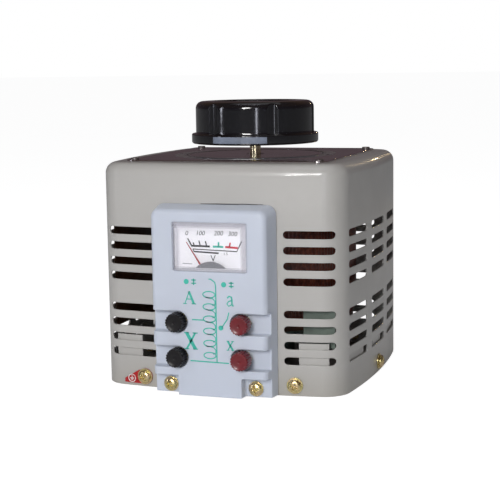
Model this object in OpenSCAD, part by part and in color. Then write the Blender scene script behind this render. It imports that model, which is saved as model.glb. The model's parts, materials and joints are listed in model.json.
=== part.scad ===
// Bench variable autotransformer: a toroidal coil in a slotted steel shell, with a
// rotary brush under a large knob, and a terminal panel with a voltmeter on its front.
// +Z is up, the front faces -Y, and the origin is on the shaft's axis at the base.

/* [Shell] */
// Width of the shell across its bulged sides
shell_w = 184; // [176:1:192]
// Depth of the shell from front to back
shell_d = 179.4; // [174:0.2:186]
// Height of the shell
shell_h = 156.5; // [156:0.5:160]
// Radius of the slight bulge of each side
side_r = 581; // [450:1:900]
// Radius of the upright corners
corner_r = 18.4; // [14:0.2:22]
// Radius of the edge round the top
top_r = 8; // [5:0.5:10]
// Thickness of the shell's steel
sheet = 1.2; // [1:0.1:1.5]

/* [Cooling slots] */
// Height of a slot
slot_h = 5.2; // [4:0.1:6]
// Distance from one slot to the next in a group
slot_pitch = 10.6; // [10:0.1:11]
// Height of the lowest slot of the lower group
slot_low = 24; // [23:0.5:25]
// Height of the lowest slot of the upper group
slot_high = 77.8; // [76:0.1:79]
// Length of a slot on the sides and back
slot_len = 38.8; // [34:0.2:40]
// Length of a slot beside the panel
front_slot_len = 34.8; // [32:0.2:36]
// Distance between the columns on the sides and back
column_gap = 50; // [48:1:52]
// Distance from the middle to the front columns
front_column = 64.6; // [64:0.2:66]
// How much further the left front slots run, behind the edge of the panel
left_slot_reach = 2; // [0:0.2:2.4]

/* [Knob and dial] */
// Radius of the knob's skirt
skirt_r = 46.2; // [44:0.2:48]
// Radius of the knob's grip
grip_r = 43.1; // [41:0.1:44]
// Height of the skirt's lower edge
knob_low = 166; // [165:0.5:168]
// Height of the knob, skirt included
knob_h = 30.4; // [28:0.2:32]
// Number of lobes on the grip
lobes = 6; // [5:1:8]
// Side of the square dial plate
dial_side = 146; // [140:1:148]
// Radius of the shaft
shaft_r = 4; // [3.9:0.1:4]
// Angle that the knob turns through
knob_travel = 315; // [315:1:320]

/* [Coil] */
// Outer radius of the core
core_ro = 69; // [66:0.5:69]
// Inner radius of the core
core_ri = 38; // [38:0.5:40]
// Height of the underside of the core
core_low = 47; // [47:0.5:48]
// Height of the core
core_h = 62; // [60:0.5:62]
// Angle of the gap in the winding at the front
wind_gap = 36; // [30:1:40]

/* [Terminal panel] */
// Half the panel's width
panel_hw = 42.2; // [41:0.1:43]
// Height of the panel
panel_h = 128; // [126:0.5:129]
// Distance the panel stands out of the shell
panel_t = 16; // [15:0.5:17]
// Depth of the wire channels, below the panel's face
channel_d = 7.5; // [6:0.5:8]
// Height of a wire channel
channel_h = 14.5; // [14:0.1:15]
// Distance of the terminals from the middle
term_x = 23; // [22:0.5:24]
// Height of the lower terminals
term_low = 26.8; // [26:0.1:28]
// Height of the upper terminals
term_high = 51; // [50:0.1:52]
// Distance of the panel screws from the middle
panel_screw_x = 30.6; // [30:0.1:31]
// Height of the panel screws
panel_screw_z = 6.4; // [6:0.1:7]

/* [Meter] */
// Half the width of the meter's window cover
window_hw = 26.7; // [26:0.1:27]
// Lower edge of the window cover
window_low = 86; // [85.5:0.5:87]
// Upper edge of the window cover
window_high = 118.8; // [117:0.2:119]
// Height of the pointer's pivot
pivot_z = 76.8; // [76:0.1:78]
// Length of the pointer above its pivot
pointer_len = 33; // [30:0.5:35]
// Angle of the pointer at zero, to the left of upright
pointer_zero = 33; // [30:1:36]

/* [Hidden] */
$fn = 96;

shell_colour = [0.71, 0.70, 0.66];
panel_colour = [0.80, 0.83, 0.88];
phenolic = [0.06, 0.055, 0.06];
steel = [0.62, 0.62, 0.63];
brass = [0.78, 0.66, 0.34];
zinc_yellow = [0.76, 0.70, 0.42];
board_brown = [0.30, 0.17, 0.09];
copper = [0.45, 0.16, 0.10];

half_w = shell_w / 2;
half_d = shell_d / 2;
front_y = -half_d;
slip = 0.05;              // gap between pieces that only touch
floor_t = 2;              // thickness of the base plate

// Centres of the front and right sides' arcs, and of the corner arc that joins them.
front_c = [0, side_r - half_d];
right_c = [half_w - side_r, 0];
span = right_c - front_c;
reach = sqrt(pow(side_r - corner_r, 2) - pow(norm(span) / 2, 2));
corner_c = (front_c + right_c) / 2 + [-span[1], span[0]] / norm(span) * reach;
front_a = atan2(corner_c[0] - front_c[0], front_c[1] - corner_c[1]);
right_a = atan2(corner_c[0] - right_c[0], right_c[1] - corner_c[1]);

slot_rows = [for (low = [slot_low, slot_high]) for (i = [0:3]) low + i * slot_pitch];

// ---- the shell's plan -------------------------------------------------------------

function side_arc(inset, steps) =
    [for (i = [-steps:steps]) let (a = front_a * i / steps)
        front_c + (side_r - inset) * [sin(a), -cos(a)]];
function turned(points, a) = [for (p = points) [p[0] * cos(a) - p[1] * sin(a), p[0] * sin(a) + p[1] * cos(a)]];
function right_arc(inset, steps) =
    [for (i = [-steps:steps]) let (a = 90 + (90 - right_a) * i / steps)
        right_c + (side_r - inset) * [sin(a), -cos(a)]];
function corner_arc(inset, steps) =
    [for (i = [1:steps - 1]) let (a = front_a + (right_a - front_a) * i / steps)
        corner_c + (corner_r - inset) * [sin(a), -cos(a)]];
function mirrored_x(points) = [for (i = [len(points) - 1:-1:0]) [-points[i][0], points[i][1]]];
function mirrored_y(points) = [for (i = [len(points) - 1:-1:0]) [points[i][0], -points[i][1]]];
function plan(inset) =
    let (quarter = corner_arc(inset, 12),
         right_half = concat(quarter, right_arc(inset, 9), mirrored_y(quarter)))
    concat(side_arc(inset, 9), right_half, turned(side_arc(inset, 9), 180), mirrored_x(right_half));

// Puts children at a point of a side's outer face: local -Y points outwards.
module on_side(side, across) {
    half = side % 2 == 0 ? half_d : half_w;
    rotate([0, 0, 90 * side]) translate([0, side_r - half, 0]) rotate([0, 0, asin(across / side_r)])
        translate([0, -side_r, 0]) children();
}

// A round bar along Y, from y0 to y1.
module bar_y(r, y0, y1) {
    translate([0, y0, 0]) rotate([-90, 0, 0]) cylinder(r = r, h = y1 - y0);
}

module ring(ro, ri, h) {
    difference() {
        cylinder(r = ro, h = h);
        translate([0, 0, -1]) cylinder(r = ri, h = h + 2);
    }
}

module hex_nut(flats, bore, h) {
    difference() {
        cylinder(d = flats / cos(30), h = h, $fn = 6);
        translate([0, 0, -1]) cylinder(r = bore, h = h + 2);
    }
}

module rounded_rect(w, h, r) {
    square([w - 2 * r, h], center = true);
    square([w, h - 2 * r], center = true);
    for (x = [-1, 1], y = [-1, 1]) translate([x * (w / 2 - r), y * (h / 2 - r)]) circle(r);
}

// A plate in the X-Z plane, between two depths.
module upright_plate(y0, y1) {
    translate([0, y1, 0]) rotate([90, 0, 0]) linear_extrude(y1 - y0) children();
}

// ---- tubes for wires and springs -----------------------------------------------------

function unit(v) = v / norm(v);
function tangent(p, i) = unit(p[min(i + 1, len(p) - 1)] - p[max(i - 1, 0)]);
function curve(p, steps) =
    [for (i = [0:len(p) - 2]) for (k = [0:steps - 1])
        let (t = k / steps, a = p[max(i - 1, 0)], b = p[i], c = p[i + 1], d = p[min(i + 2, len(p) - 1)])
        0.5 * (2 * b + (c - a) * t + (2 * a - 5 * b + 4 * c - d) * t * t + (3 * b - a - 3 * c + d) * t * t * t),
     p[len(p) - 1]];

module tube(p, r, side_ref, sides = 8) {
    n = len(p);
    rings = [for (i = [0:n - 1]) let (t = tangent(p, i), u = unit(cross(t, side_ref)), v = cross(t, u))
        for (k = [0:sides - 1]) p[i] + r * (cos(360 * k / sides) * u + sin(360 * k / sides) * v)];
    sheets = [for (i = [0:n - 2]) for (k = [0:sides - 1]) let (k2 = (k + 1) % sides)
        [i * sides + k, i * sides + k2, (i + 1) * sides + k2, (i + 1) * sides + k]];
    ends = [[for (k = [sides - 1:-1:0]) k], [for (k = [0:sides - 1]) (n - 1) * sides + k]];
    polyhedron(rings, concat(sheets, ends), convexity = 6);
}

// ---- shell, base and dial --------------------------------------------------------------

edge_steps = 6;           // facets round the top edge

// A closed box on the shell's plan, with its top edge rounded: a wall, then stacked insets.
module shell_block(inset, low, h, edge) {
    translate([0, 0, low]) linear_extrude(h - edge - low) polygon(plan(inset));
    hull() for (i = [0:edge_steps]) let (a = 90 * i / edge_steps)
        translate([0, 0, h - edge * (1 - sin(a)) - (i == 0 ? 0 : 0.01)])
            linear_extrude(0.01) polygon(plan(inset + edge * (1 - cos(a))));
}

module slot_cutter(len, depth) {
    rotate([90, 0, 0]) linear_extrude(depth) {
        square([len - slot_h, slot_h], center = true);
        for (s = [-1, 1]) translate([s * (len - slot_h) / 2, 0]) circle(d = slot_h, $fn = 32);
    }
}

shell_screw_z = 7.4;
shell_screws_at = [[0, 54.4], [1, 0], [2, -54.4], [2, 54.4], [3, 0]];   // side and distance across it
earth_across = -54.4;

module shell() {
    color(shell_colour) difference() {
        shell_block(0, 0, shell_h, top_r);
        shell_block(sheet, -1, shell_h - sheet, top_r - sheet);
        translate([0, 0, shell_h - 5]) cylinder(r = 12, h = 10);
        for (x = [-1, 1], y = [-1, 1]) translate([x * rivet_at, y * rivet_at, shell_h - 5])
            cylinder(r = 1.6, h = 10);
        for (z = slot_rows) {
            translate([front_column, -half_d + 40, z]) slot_cutter(front_slot_len, 60);
            translate([left_slot_reach / 2 - front_column, -half_d + 40, z])
                slot_cutter(front_slot_len + left_slot_reach, 60);
            for (c = [-1:1]) {
                translate([c * column_gap, half_d + 20, z]) slot_cutter(slot_len, 60);
                translate([half_w + 20, c * column_gap, z]) rotate([0, 0, -90])
                    slot_cutter(slot_len, shell_w + 40);
            }
        }
        for (s = shell_screws_at) on_side(s[0], s[1]) translate([0, 0, shell_screw_z]) bar_y(2.75, -3, 4);
        on_side(0, earth_across) translate([0, 0, shell_screw_z]) bar_y(2.75, -3, 4);
        for (s = [-1, 1]) translate([s * panel_screw_x, front_y, panel_screw_z]) bar_y(2.75, -3, 6);
        translate([-33, front_y - 5, 16]) cube([66, 15, 46]);
        translate([-29.5, front_y - 5, 65.5]) cube([59, 15, 56.5]);
    }
}

// Upturned tabs of the base: side, lowest and highest distance across, and height.
base_tabs = [[0, -40, 40, 13], [1, -66, -36, 28], [1, -12, 12, 28], [1, 36, 66, 28], [3, -66, -36, 28],
             [3, -12, 12, 28], [3, 36, 66, 28], [2, -68, -40, 20], [2, 40, 68, 20]];
// Curved tabs beside the panel: lowest and highest distance from the middle, and height.
front_tabs = [[46, 77, 14], [57, 77, 36]];
mount_x = 62;             // half the spacing of the mounting holes
mount_hole_r = 3.3;
dish_r = 48;              // radius of the raised middle of the base
dish_z = 4;               // height of its underside
bolt_ring = 22;
bolt_angles = [30, 150, 270];
tab_t = 1.5;

module base_plate() {
    color(shell_colour) difference() {
        union() {
            difference() {
                linear_extrude(floor_t) polygon(plan(sheet + 0.3));
                translate([0, 0, -1]) cylinder(r = dish_r - 2, h = floor_t + 2);
            }
            ring(dish_r, dish_r - 2, dish_z + floor_t);
            translate([0, 0, dish_z]) cylinder(r = dish_r - 1, h = floor_t);
            for (t = base_tabs) on_side(t[0], (t[1] + t[2]) / 2)
                translate([-(t[2] - t[1]) / 2, sheet + tab_gap(t), 0.2]) cube([t[2] - t[1], tab_t, t[3] - 0.2]);
            for (t = front_tabs) {
                curved_tab(t);
                mirror([1, 0, 0]) curved_tab(t);
            }
        }
        translate([0, 0, -1]) cylinder(r = 13, h = 20);
        for (a = bolt_angles) rotate([0, 0, a]) translate([bolt_ring, 0, -1]) cylinder(r = 2.7, h = 20);
        for (x = [-1, 1], y = [-1, 1]) translate([x * mount_x, y * mount_x, -1])
            cylinder(r = mount_hole_r, h = 10);
        for (a = [0:30:330]) rotate([0, 0, a]) translate([dish_r + 14, 0, -1]) cylinder(r = 4, h = 10);
        for (s = shell_screws_at) on_side(s[0], s[1]) translate([0, 0, shell_screw_z]) bar_y(2.45, -3, 12);
        on_side(0, earth_across) translate([0, 0, shell_screw_z]) bar_y(2.45, -3, 12);
        for (s = [-1, 1]) translate([s * panel_screw_x, front_y, panel_screw_z]) bar_y(2.45, -3, 12);
    }
}
// A tab that follows the inside of the front wall and its corner.
module curved_tab(t) {
    linear_extrude(t[2]) intersection() {
        difference() {
            polygon(plan(sheet + 0.35));
            polygon(plan(sheet + 0.35 + tab_t));
        }
        translate([t[0], front_y]) square([t[1] - t[0], 30]);
    }
}
// A flat tab inside a bulged wall stands off it at its ends by the bulge's depth there.
function tab_gap(t) = 0.3 + pow((t[2] - t[1]) / 2, 2) / (2 * side_r);

dial_t = 1;
rivet_at = dial_side / 2 - 6;

module dial_plate() {
    color("silver") translate([0, 0, shell_h]) difference() {
        linear_extrude(dial_t) rounded_rect(dial_side, dial_side, 7);
        translate([0, 0, -1]) cylinder(r = 6.5, h = 5);
        for (x = [-1, 1], y = [-1, 1]) translate([x * rivet_at, y * rivet_at, -1]) cylinder(r = 1.6, h = 5);
    }
}

module dial_rivets() {
    color(steel) for (x = [-1, 1], y = [-1, 1]) translate([x * rivet_at, y * rivet_at, shell_h + dial_t]) {
        difference() {
            sphere(r = 3);
            translate([0, 0, -5]) cube([10, 10, 10], center = true);
            translate([0, 0, 6.2]) cube([10, 10, 10], center = true);
        }
        translate([0, 0, -4]) cylinder(r = 1.5, h = 4.2);
    }
}

// ---- coil -----------------------------------------------------------------------------

cup_t = 2;
wire_t = 2.2;
support_top = 38;
core_top = core_low + core_h;
wind_in = core_ri - cup_t - 0.2;
wind_out = core_ro + cup_t + 0.2;
wind_low = core_low - cup_t - 0.2;
wind_high = core_top + cup_t + 0.2;
wind_start = -90 + wind_gap / 2;
clamp_top = wind_high + wire_t + 5.5;
bearing_r = 8;
running = 0.04;           // radial clearance of the shaft in its bearings

bracket_low = [58, -77.5];   // front edges of the corner brackets
bracket_high = [80, -74.5];

// An arm that reaches into a corner of the case and turns up beside the slots.
module corner_bracket() {
    size = bracket_high - bracket_low;
    translate([bracket_low[0], bracket_low[1], support_top - 6]) cube([size[0], size[1], 32]);
    translate([0, 0, support_top - 6]) linear_extrude(6)
        polygon([[42, -50], [50, -42], [76, -75], [62, -75]]);
}

module coil_support() {
    color([0.42, 0.47, 0.44]) difference() {
        union() {
            corner_bracket();
            rotate([0, 0, 180]) corner_bracket();
            translate([0, 0, support_top - 6]) ring(70, 62, 6);
            translate([0, 0, support_top - 6]) ring(41, 33, 6);
            translate([0, 0, 22]) cylinder(r = 12, h = support_top - 22);
            for (a = bolt_angles) rotate([0, 0, a]) {
                translate([9, -4, support_top - 12]) cube([59, 8, 12]);
                translate([bolt_ring, 0, dish_z + floor_t]) cylinder(r = 6, h = support_top - dish_z - floor_t);
            }
        }
        translate([0, 0, 10]) cylinder(r = bearing_r + slip, h = 40);
        for (a = bolt_angles) rotate([0, 0, a]) translate([bolt_ring, 0, 0]) cylinder(r = 2.7, h = 60);
    }
}

guard_x = 84;
guard_t = 1.2;
guard_span = [-66, 4];    // from front to back
guard_top = 122;

// The board under the winding. Its tongue turns up at the left as a guard inside the slots.
module winding_seat() {
    seat_t = wind_low - wire_t - support_top;
    color(board_brown) translate([0, 0, support_top]) {
        ring(71, 32, seat_t);
        translate([-guard_x - guard_t, -40, 0]) cube([guard_x + guard_t - 64, 36, seat_t - 1]);
        translate([-guard_x - guard_t, guard_span[0], 0])
            cube([guard_t, guard_span[1] - guard_span[0], guard_top - support_top]);
    }
}

module core_section() {
    translate([core_ri, core_low]) square([core_ro - core_ri, core_h]);
}

module core_cup(low, high) {
    rotate_extrude() difference() {
        translate([core_ri - cup_t, low]) square([core_ro - core_ri + 2 * cup_t, high - low]);
        translate([core_ri - slip, core_low - slip]) square([core_ro - core_ri + 2 * slip, core_h + 2 * slip]);
    }
}

module lower_core_cup() {
    color(board_brown) core_cup(core_low - cup_t, core_low + 14);
}

module upper_core_cup() {
    color(board_brown) core_cup(core_top - 14, core_top + cup_t);
}

module toroid_core() {
    color(steel) rotate_extrude() core_section();
}

module winding() {
    middle = [(wind_in + wind_out) / 2, (wind_low + wind_high) / 2];
    size = [wind_out - wind_in, wind_high - wind_low];
    color(copper) rotate([0, 0, wind_start]) rotate_extrude(angle = 360 - wind_gap)
        translate(middle) difference() {
        rounded_rect(size[0] + 2 * wire_t, size[1] + 2 * wire_t, 5);
        square(size, center = true);
    }
}

track_t = 0.6;
track_mid = 58;
track_top = wind_high + wire_t + slip + track_t;

module brush_track() {
    color([0.80, 0.45, 0.28]) translate([0, 0, track_top - track_t]) rotate([0, 0, wind_start + 1])
        rotate_extrude(angle = 358 - wind_gap) translate([track_mid - 7, 0]) square([14, track_t]);
}

module upper_clamp() {
    color(phenolic) difference() {
        union() {
            translate([0, 0, wind_high + wire_t + slip])
                cylinder(r = 46, h = clamp_top - wind_high - wire_t - slip);
            translate([0, 0, 98]) cylinder(r = 31, h = 17);
        }
        translate([0, 0, 90]) cylinder(r = bearing_r + slip, h = 60);
        for (a = bolt_angles) rotate([0, 0, a]) translate([bolt_ring, 0, 0]) {
            translate([0, 0, 90]) cylinder(r = 2.7, h = 40);
            translate([0, 0, clamp_top - 5]) cylinder(r = 5.5, h = 10);
        }
        translate([0, stop_ring * sin(stop_angle), 100]) cylinder(r = 2.5, h = 60);
        translate([-3.2, 24, 90]) cube([6.4, 3.2, 60]);
    }
}

module clamp_bolts() {
    color(steel) for (a = bolt_angles) rotate([0, 0, a]) translate([bolt_ring, 0, 0]) {
        translate([0, 0, 0.5]) cylinder(d = 8 / cos(30), h = dish_z - 0.5, $fn = 6);
        translate([0, 0, dish_z - 0.5]) cylinder(r = 2.5, h = clamp_top - dish_z - 0.1);
    }
}

module clamp_nuts() {
    color(steel) for (a = bolt_angles) rotate([0, 0, a]) translate([bolt_ring, 0, clamp_top - 5])
        hex_nut(8, 2.5 + slip, 4);
}

module lower_bearing() {
    color(brass) translate([0, 0, 22]) ring(bearing_r, shaft_r + running, support_top + 2 - 22);
}

module upper_bearing() {
    color(brass) translate([0, 0, 98]) ring(bearing_r, shaft_r + running, clamp_top + 0.5 - 98);
}

// ---- rotor ----------------------------------------------------------------------------

start_angle = -112.5;     // direction of the pointer mark and of the brush at zero
stop_angle = -90;
stop_ring = 30;
stop_pin_r = 2.5;
hub_low = clamp_top + 2;
flange_low = hub_low + 2;
disc_low = flange_low + 4;
disc_t = 3;
disc_r = 69;
hub_r = 13;
flange_r = 20;
skirt_h = 7.2;

module stop_pin() {
    color(steel) translate([0, stop_ring * sin(stop_angle), 104])
        cylinder(r = stop_pin_r - slip, h = flange_low + 2.5 - 104);
}

// A brass leaf that rubs on the slip ring from below, with a tail down into the coil's bore.
module collector_contact() {
    color(brass) {
        translate([-3, 14.5, clamp_top + slip]) cube([6, 12, 1.5]);
        translate([-3, 25, 90]) cube([6, 1.5, clamp_top + 1 - 90]);
    }
}

module shaft() {
    color(zinc_yellow) translate([0, 0, 16]) cylinder(r = shaft_r, h = knob_low + 20.5 - 16);
}

module shaft_collar() {
    color(steel) translate([0, 0, 16.5]) ring(7.5, shaft_r + slip / 2, 5);
}

module rotor_hub() {
    arm_half = stop_ring * sin((360 - knob_travel) / 2) - stop_pin_r - 0.1;
    color(board_brown) difference() {
        union() {
            translate([0, 0, hub_low]) cylinder(r = hub_r, h = 14);
            translate([0, 0, flange_low]) cylinder(r = flange_r, h = disc_low - flange_low);
            rotate([0, 0, start_angle]) translate([0, -arm_half, flange_low])
                cube([34, 2 * arm_half, disc_low - flange_low]);
        }
        translate([0, 0, hub_low - 1]) cylinder(r = shaft_r + slip / 2, h = 40);
        for (a = [0, 120, 240]) rotate([0, 0, a]) translate([16.5, 0, 100]) cylinder(r = 1.5 + slip, h = 50);
    }
}

module slip_ring() {
    color(brass) translate([0, 0, hub_low]) ring(19, hub_r + slip, flange_low - hub_low - slip);
}

module brush_disc() {
    color([0.78, 0.79, 0.80]) difference() {
        union() {
            translate([0, 0, disc_low + slip]) cylinder(r = disc_r, h = disc_t);
            translate([0, 0, disc_low + slip]) ring(disc_r, disc_r - 2.5, 8);
        }
        translate([0, 0, 100]) cylinder(r = hub_r + slip, h = 50);
        for (a = [0, 120, 240]) rotate([0, 0, a]) translate([16.5, 0, 100]) cylinder(r = 1.5 + slip, h = 50);
        for (a = [45:45:315]) rotate([0, 0, start_angle + a]) translate([46, 0, 100]) cylinder(r = 9, h = 50);
        rotate([0, 0, start_angle]) translate([track_mid - 7.6, -5.1, 100]) cube([15.2, 10.2, 50]);
    }
}

module disc_screws() {
    color(steel) for (a = [0, 120, 240]) rotate([0, 0, a]) translate([16.5, 0, 0]) {
        translate([0, 0, flange_low + 0.5]) cylinder(r = 1.5, h = disc_low + disc_t + slip - flange_low);
        translate([0, 0, disc_low + disc_t + 2 * slip]) cylinder(r = 2.8, h = 2);
    }
}

brush_w = 6;
brush_l = 11;
brush_top = track_top + 14;
holder_top = disc_low + 11;

module at_brush() {
    rotate([0, 0, start_angle]) translate([track_mid, 0, 0]) children();
}

module brush_holder() {
    holder_low = track_top + 3.5;
    color(brass) at_brush() difference() {
        translate([-7.5, -5, holder_low]) cube([15, 10, holder_top - holder_low]);
        translate([-brush_l / 2 - 0.1, -brush_w / 2 - 0.1, holder_low - 1])
            cube([brush_l + 0.2, brush_w + 0.2, holder_top - holder_low - 0.5]);
    }
}

module carbon_brush() {
    color([0.13, 0.13, 0.14]) at_brush() intersection() {
        translate([-brush_l / 2, -brush_w / 2, track_top + slip]) cube([brush_l, brush_w, 14 - slip]);
        translate([-brush_l, 0, track_top]) rotate([90, 0, 90]) linear_extrude(2 * brush_l)
            polygon([[-1.2, 0], [1.2, 0], [3.2, 3], [3.2, 30], [-3.2, 30], [-3.2, 3]]);
    }
}

module brush_spring() {
    turns = 4;
    low = brush_top + 0.4;
    high = holder_top - 1.9;
    color(steel) at_brush() tube([for (i = [0:12 * turns]) let (a = 30 * i)
        [2 * cos(a), 2 * sin(a), low + (high - low) * i / (12 * turns)]], 0.3, [0, 0, 1], 6);
}

// ---- knob -------------------------------------------------------------------------------

knob_phase = -85;         // direction of the lobe that faces front at rest
groove_r = 6;
groove_half = 4;

// Points round a corner of radius r, whose centre is at c, from angle a0 to a1.
function rounding(c, r, a0, a1, steps) =
    [for (i = [0:steps]) let (a = a0 + (a1 - a0) * i / steps) c + r * [cos(a), sin(a)]];

module knob_section() {
    edge = 5;
    polygon(concat([[0, 0]],
        rounding([skirt_r - 1.5, 1.5], 1.5, -90, 0, 3),
        rounding([skirt_r - 1, skirt_h - 1], 1, 0, 90, 3),
        [[grip_r, skirt_h]],
        rounding([grip_r - edge, knob_h - edge], edge, 0, 90, 6),
        [[0, knob_h]]));
}

module knob() {
    groove_at = sqrt(pow(grip_r, 2) - pow(groove_half, 2)) + sqrt(pow(groove_r, 2) - pow(groove_half, 2));
    color(phenolic) translate([0, 0, knob_low]) difference() {
        union() {
            difference() {
                rotate_extrude() knob_section();
                translate([0, 0, -1]) cylinder(r = grip_r - 4, h = knob_h - 3);
                for (i = [0:lobes - 1]) rotate([0, 0, knob_phase + (i + 0.5) * 360 / lobes])
                    translate([groove_at, 0, skirt_h]) cylinder(r = groove_r, h = knob_h);
                translate([0, 0, knob_h - 0.8]) cylinder(r = 30, h = 5);
            }
            translate([0, 0, 1]) cylinder(r = 11, h = knob_h - 4);
            for (a = [0:60:300]) rotate([0, 0, a]) translate([9, -1.2, 6])
                cube([grip_r - 12, 2.4, knob_h - 8.5]);
        }
        translate([0, 0, -1]) cylinder(r = insert_r, h = 22);
        rotate([0, 0, 90]) translate([0, 0, 12]) rotate([0, 90, 0]) cylinder(r = 2.1, h = 60);
    }
}

insert_r = 7.5;

module knob_insert() {
    color(brass) translate([0, 0, knob_low + 1]) difference() {
        ring(insert_r - slip, shaft_r + slip / 2, 20 - slip);
        rotate([0, 0, 90]) translate([0, 0, 11]) rotate([0, 90, 0]) cylinder(r = 2.1, h = 60);
    }
}

module knob_set_screw() {
    color(steel) rotate([0, 0, 90]) translate([shaft_r + slip, 0, knob_low + 12]) rotate([0, 90, 0])
        difference() {
        cylinder(r = 2, h = 9);
        translate([0, 0, 6.5]) cylinder(r = 1.1, h = 5, $fn = 6);
    }
}

module knob_index_label() {
    color([0.55, 0.60, 0.68]) translate([0, 0, knob_low]) rotate([0, 0, start_angle + 1])
        rotate_extrude(angle = 50) translate([skirt_r + 0.02, 1.4]) square([0.3, skirt_h - 2.6]);
}

// ---- terminal panel ------------------------------------------------------------------------

panel_face = front_y - panel_t;
channel_face = panel_face + channel_d;
board_y = front_y - 6;
board_t = 2.6;
term_rows = [term_low, term_high];
stud_r = 3;
wall = 2.5;

module panel_outline() {
    translate([-panel_hw, 0.5]) square([2 * panel_hw, panel_h - 6.5]);
    translate([-panel_hw + 6, 0.5]) square([2 * panel_hw - 12, panel_h - 0.5]);
    for (s = [-1, 1]) translate([s * (panel_hw - 6), panel_h - 6]) circle(6);
}

// The space for a wire: a round-ended channel from the terminal out through the panel's side.
module channel_outline() {
    circle(d = channel_h);
    translate([0, -channel_h / 2]) square([panel_hw, channel_h]);
}

module terminal_panel() {
    color(panel_colour) difference() {
        upright_plate(panel_face, front_y + 2) panel_outline();
        linear_extrude(400, center = true) polygon(plan(-slip));
        // hollow behind the meter
        upright_plate(panel_face + wall, front_y + 5)
            translate([-panel_hw + wall, 63.5]) square([2 * panel_hw - 2 * wall, panel_h - 63.5 - wall]);
        // seat of the terminal board
        upright_plate(board_y - slip, front_y + 5)
            translate([-panel_hw + wall, 13]) square([2 * panel_hw - 2 * wall, 51]);
        upright_plate(panel_face - 1, channel_face) {
            for (z = term_rows) {
                translate([term_x, z]) channel_outline();
                mirror([1, 0]) translate([term_x, z]) channel_outline();
            }
            for (s = [-1, 1]) translate([s * (panel_hw + 1) - (s > 0 ? 19.6 : 0), 0]) square([19.6, 14]);
        }
        upright_plate(panel_face - 1, panel_face + wall + 1) cover_outline(-0.2);
        for (s = [-1, 1]) {
            translate([s * panel_screw_x, 0, panel_screw_z]) bar_y(2.75, panel_face, front_y + 5);
            for (z = term_rows) translate([s * term_x, 0, z]) bar_y(stud_r + 0.2, panel_face, front_y + 5);
        }
    }
}

module terminal_board() {
    color(board_brown) difference() {
        upright_plate(board_y, board_y + board_t) translate([-38, 14]) square([76, 48]);
        for (s = [-1, 1], z = term_rows) translate([s * term_x, 0, z])
            bar_y(stud_r + slip, board_y - 1, board_y + 5);
    }
}

module each_terminal() {
    for (s = [-1, 1], z = term_rows) translate([s * term_x, 0, z]) children();
}

stud_front = front_y - 20;
nut_t = 2.6;

module terminal_studs() {
    color(brass) each_terminal() bar_y(stud_r, stud_front, front_y + 7);
}

module nut_y(y) {
    translate([0, y, 0]) rotate([-90, 0, 0]) hex_nut(9, stud_r + slip, nut_t);
}

module terminal_nuts() {
    color(brass) each_terminal() {
        nut_y(channel_face - nut_t - slip);
        nut_y(board_y + board_t + slip);
        nut_y(front_y + 1.2);
    }
}

// A ring lug on each stud, between its two rear nuts: the upper ones point inwards, the lower ones up.
module terminal_lugs() {
    color("silver") each_terminal_turned() difference() {
        union() {
            bar_y(5, front_y - 0.4, front_y + 0.3);
            translate([-2, front_y - 0.4, 3]) cube([4, 0.7, 6]);
        }
        bar_y(stud_r + slip, front_y - 3, front_y + 3);
    }
}

module each_terminal_turned() {
    for (s = [-1, 1]) {
        translate([s * term_x, 0, term_low]) children();
        translate([s * term_x, 0, term_high]) rotate([0, -s * 90, 0]) children();
    }
}

module neutral_link() {
    color(copper) translate([0, 0, term_low]) difference() {
        translate([-term_x - 4, front_y + 0.4, -4]) cube([2 * term_x + 8, 0.7, 8]);
        for (s = [-1, 1]) translate([s * term_x, 0, 0]) bar_y(stud_r + slip, front_y - 3, front_y + 3);
    }
}

cap_back = channel_face - nut_t - 1.2;
cap_len = 9.8;
cap_r = 6.5;
cap_teeth = 16;

module cap_outline() {
    polygon([for (i = [0:8 * cap_teeth - 1]) let (a = 360 * i / (8 * cap_teeth))
        (cap_r + 0.28 * cos(cap_teeth * a)) * [cos(a), sin(a)]]);
}

module cap(s, z) {
    translate([s * term_x, 0, z]) difference() {
        translate([0, cap_back - slip, 0]) rotate([90, 0, 0]) {
            linear_extrude(cap_len - 0.8) cap_outline();
            cylinder(r = cap_r - 0.6, h = cap_len);
        }
        bar_y(stud_r + running, cap_back - cap_len + 1.8, cap_back + 1);
    }
}

module input_live_cap() { color([0.05, 0.05, 0.055]) cap(-1, term_high); }
module input_neutral_cap() { color([0.05, 0.05, 0.055]) cap(-1, term_low); }
module output_live_cap() { color([0.52, 0.08, 0.10]) cap(1, term_high); }
module output_neutral_cap() { color([0.52, 0.08, 0.10]) cap(1, term_low); }

module washer(s, z) {
    translate([s * term_x, 0, z]) difference() {
        bar_y(5.6, cap_back, cap_back + 1.1);
        bar_y(stud_r + running, cap_back - 1, cap_back + 3);
    }
}

module input_live_washer() { color(brass) washer(-1, term_high); }
module input_neutral_washer() { color(brass) washer(-1, term_low); }
module output_live_washer() { color(brass) washer(1, term_high); }
module output_neutral_washer() { color(brass) washer(1, term_low); }

// ---- leads -----------------------------------------------------------------------------------

lead_r = 1.3;

module input_leads() {
    live = [[-13.9, front_y, term_high], [-11, front_y + 0.5, term_high], [-9, -85, 54], [-12, -79.5, 64],
        [-14, -77.6, 80], [-16, -74.5, 92], [-16.9, -70.8, 99], [-16.9, -70.6, 104]];
    neutral = [[-term_x, front_y, term_low + 9.2], [-term_x, front_y + 0.4, 38.5], [-21, -84.5, 41],
        [-10, -79, 42], [6, -77.5, 46], [15, -75.2, 52], [16.9, -71, 58], [16.9, -70.6, 64]];
    color([0.6, 0.12, 0.10]) {
        tube(curve(live, 5), lead_r, [0.3, 0.9, 0.2]);
        tube(curve(neutral, 5), lead_r, [0.1, 0.2, 1]);
    }
}

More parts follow.
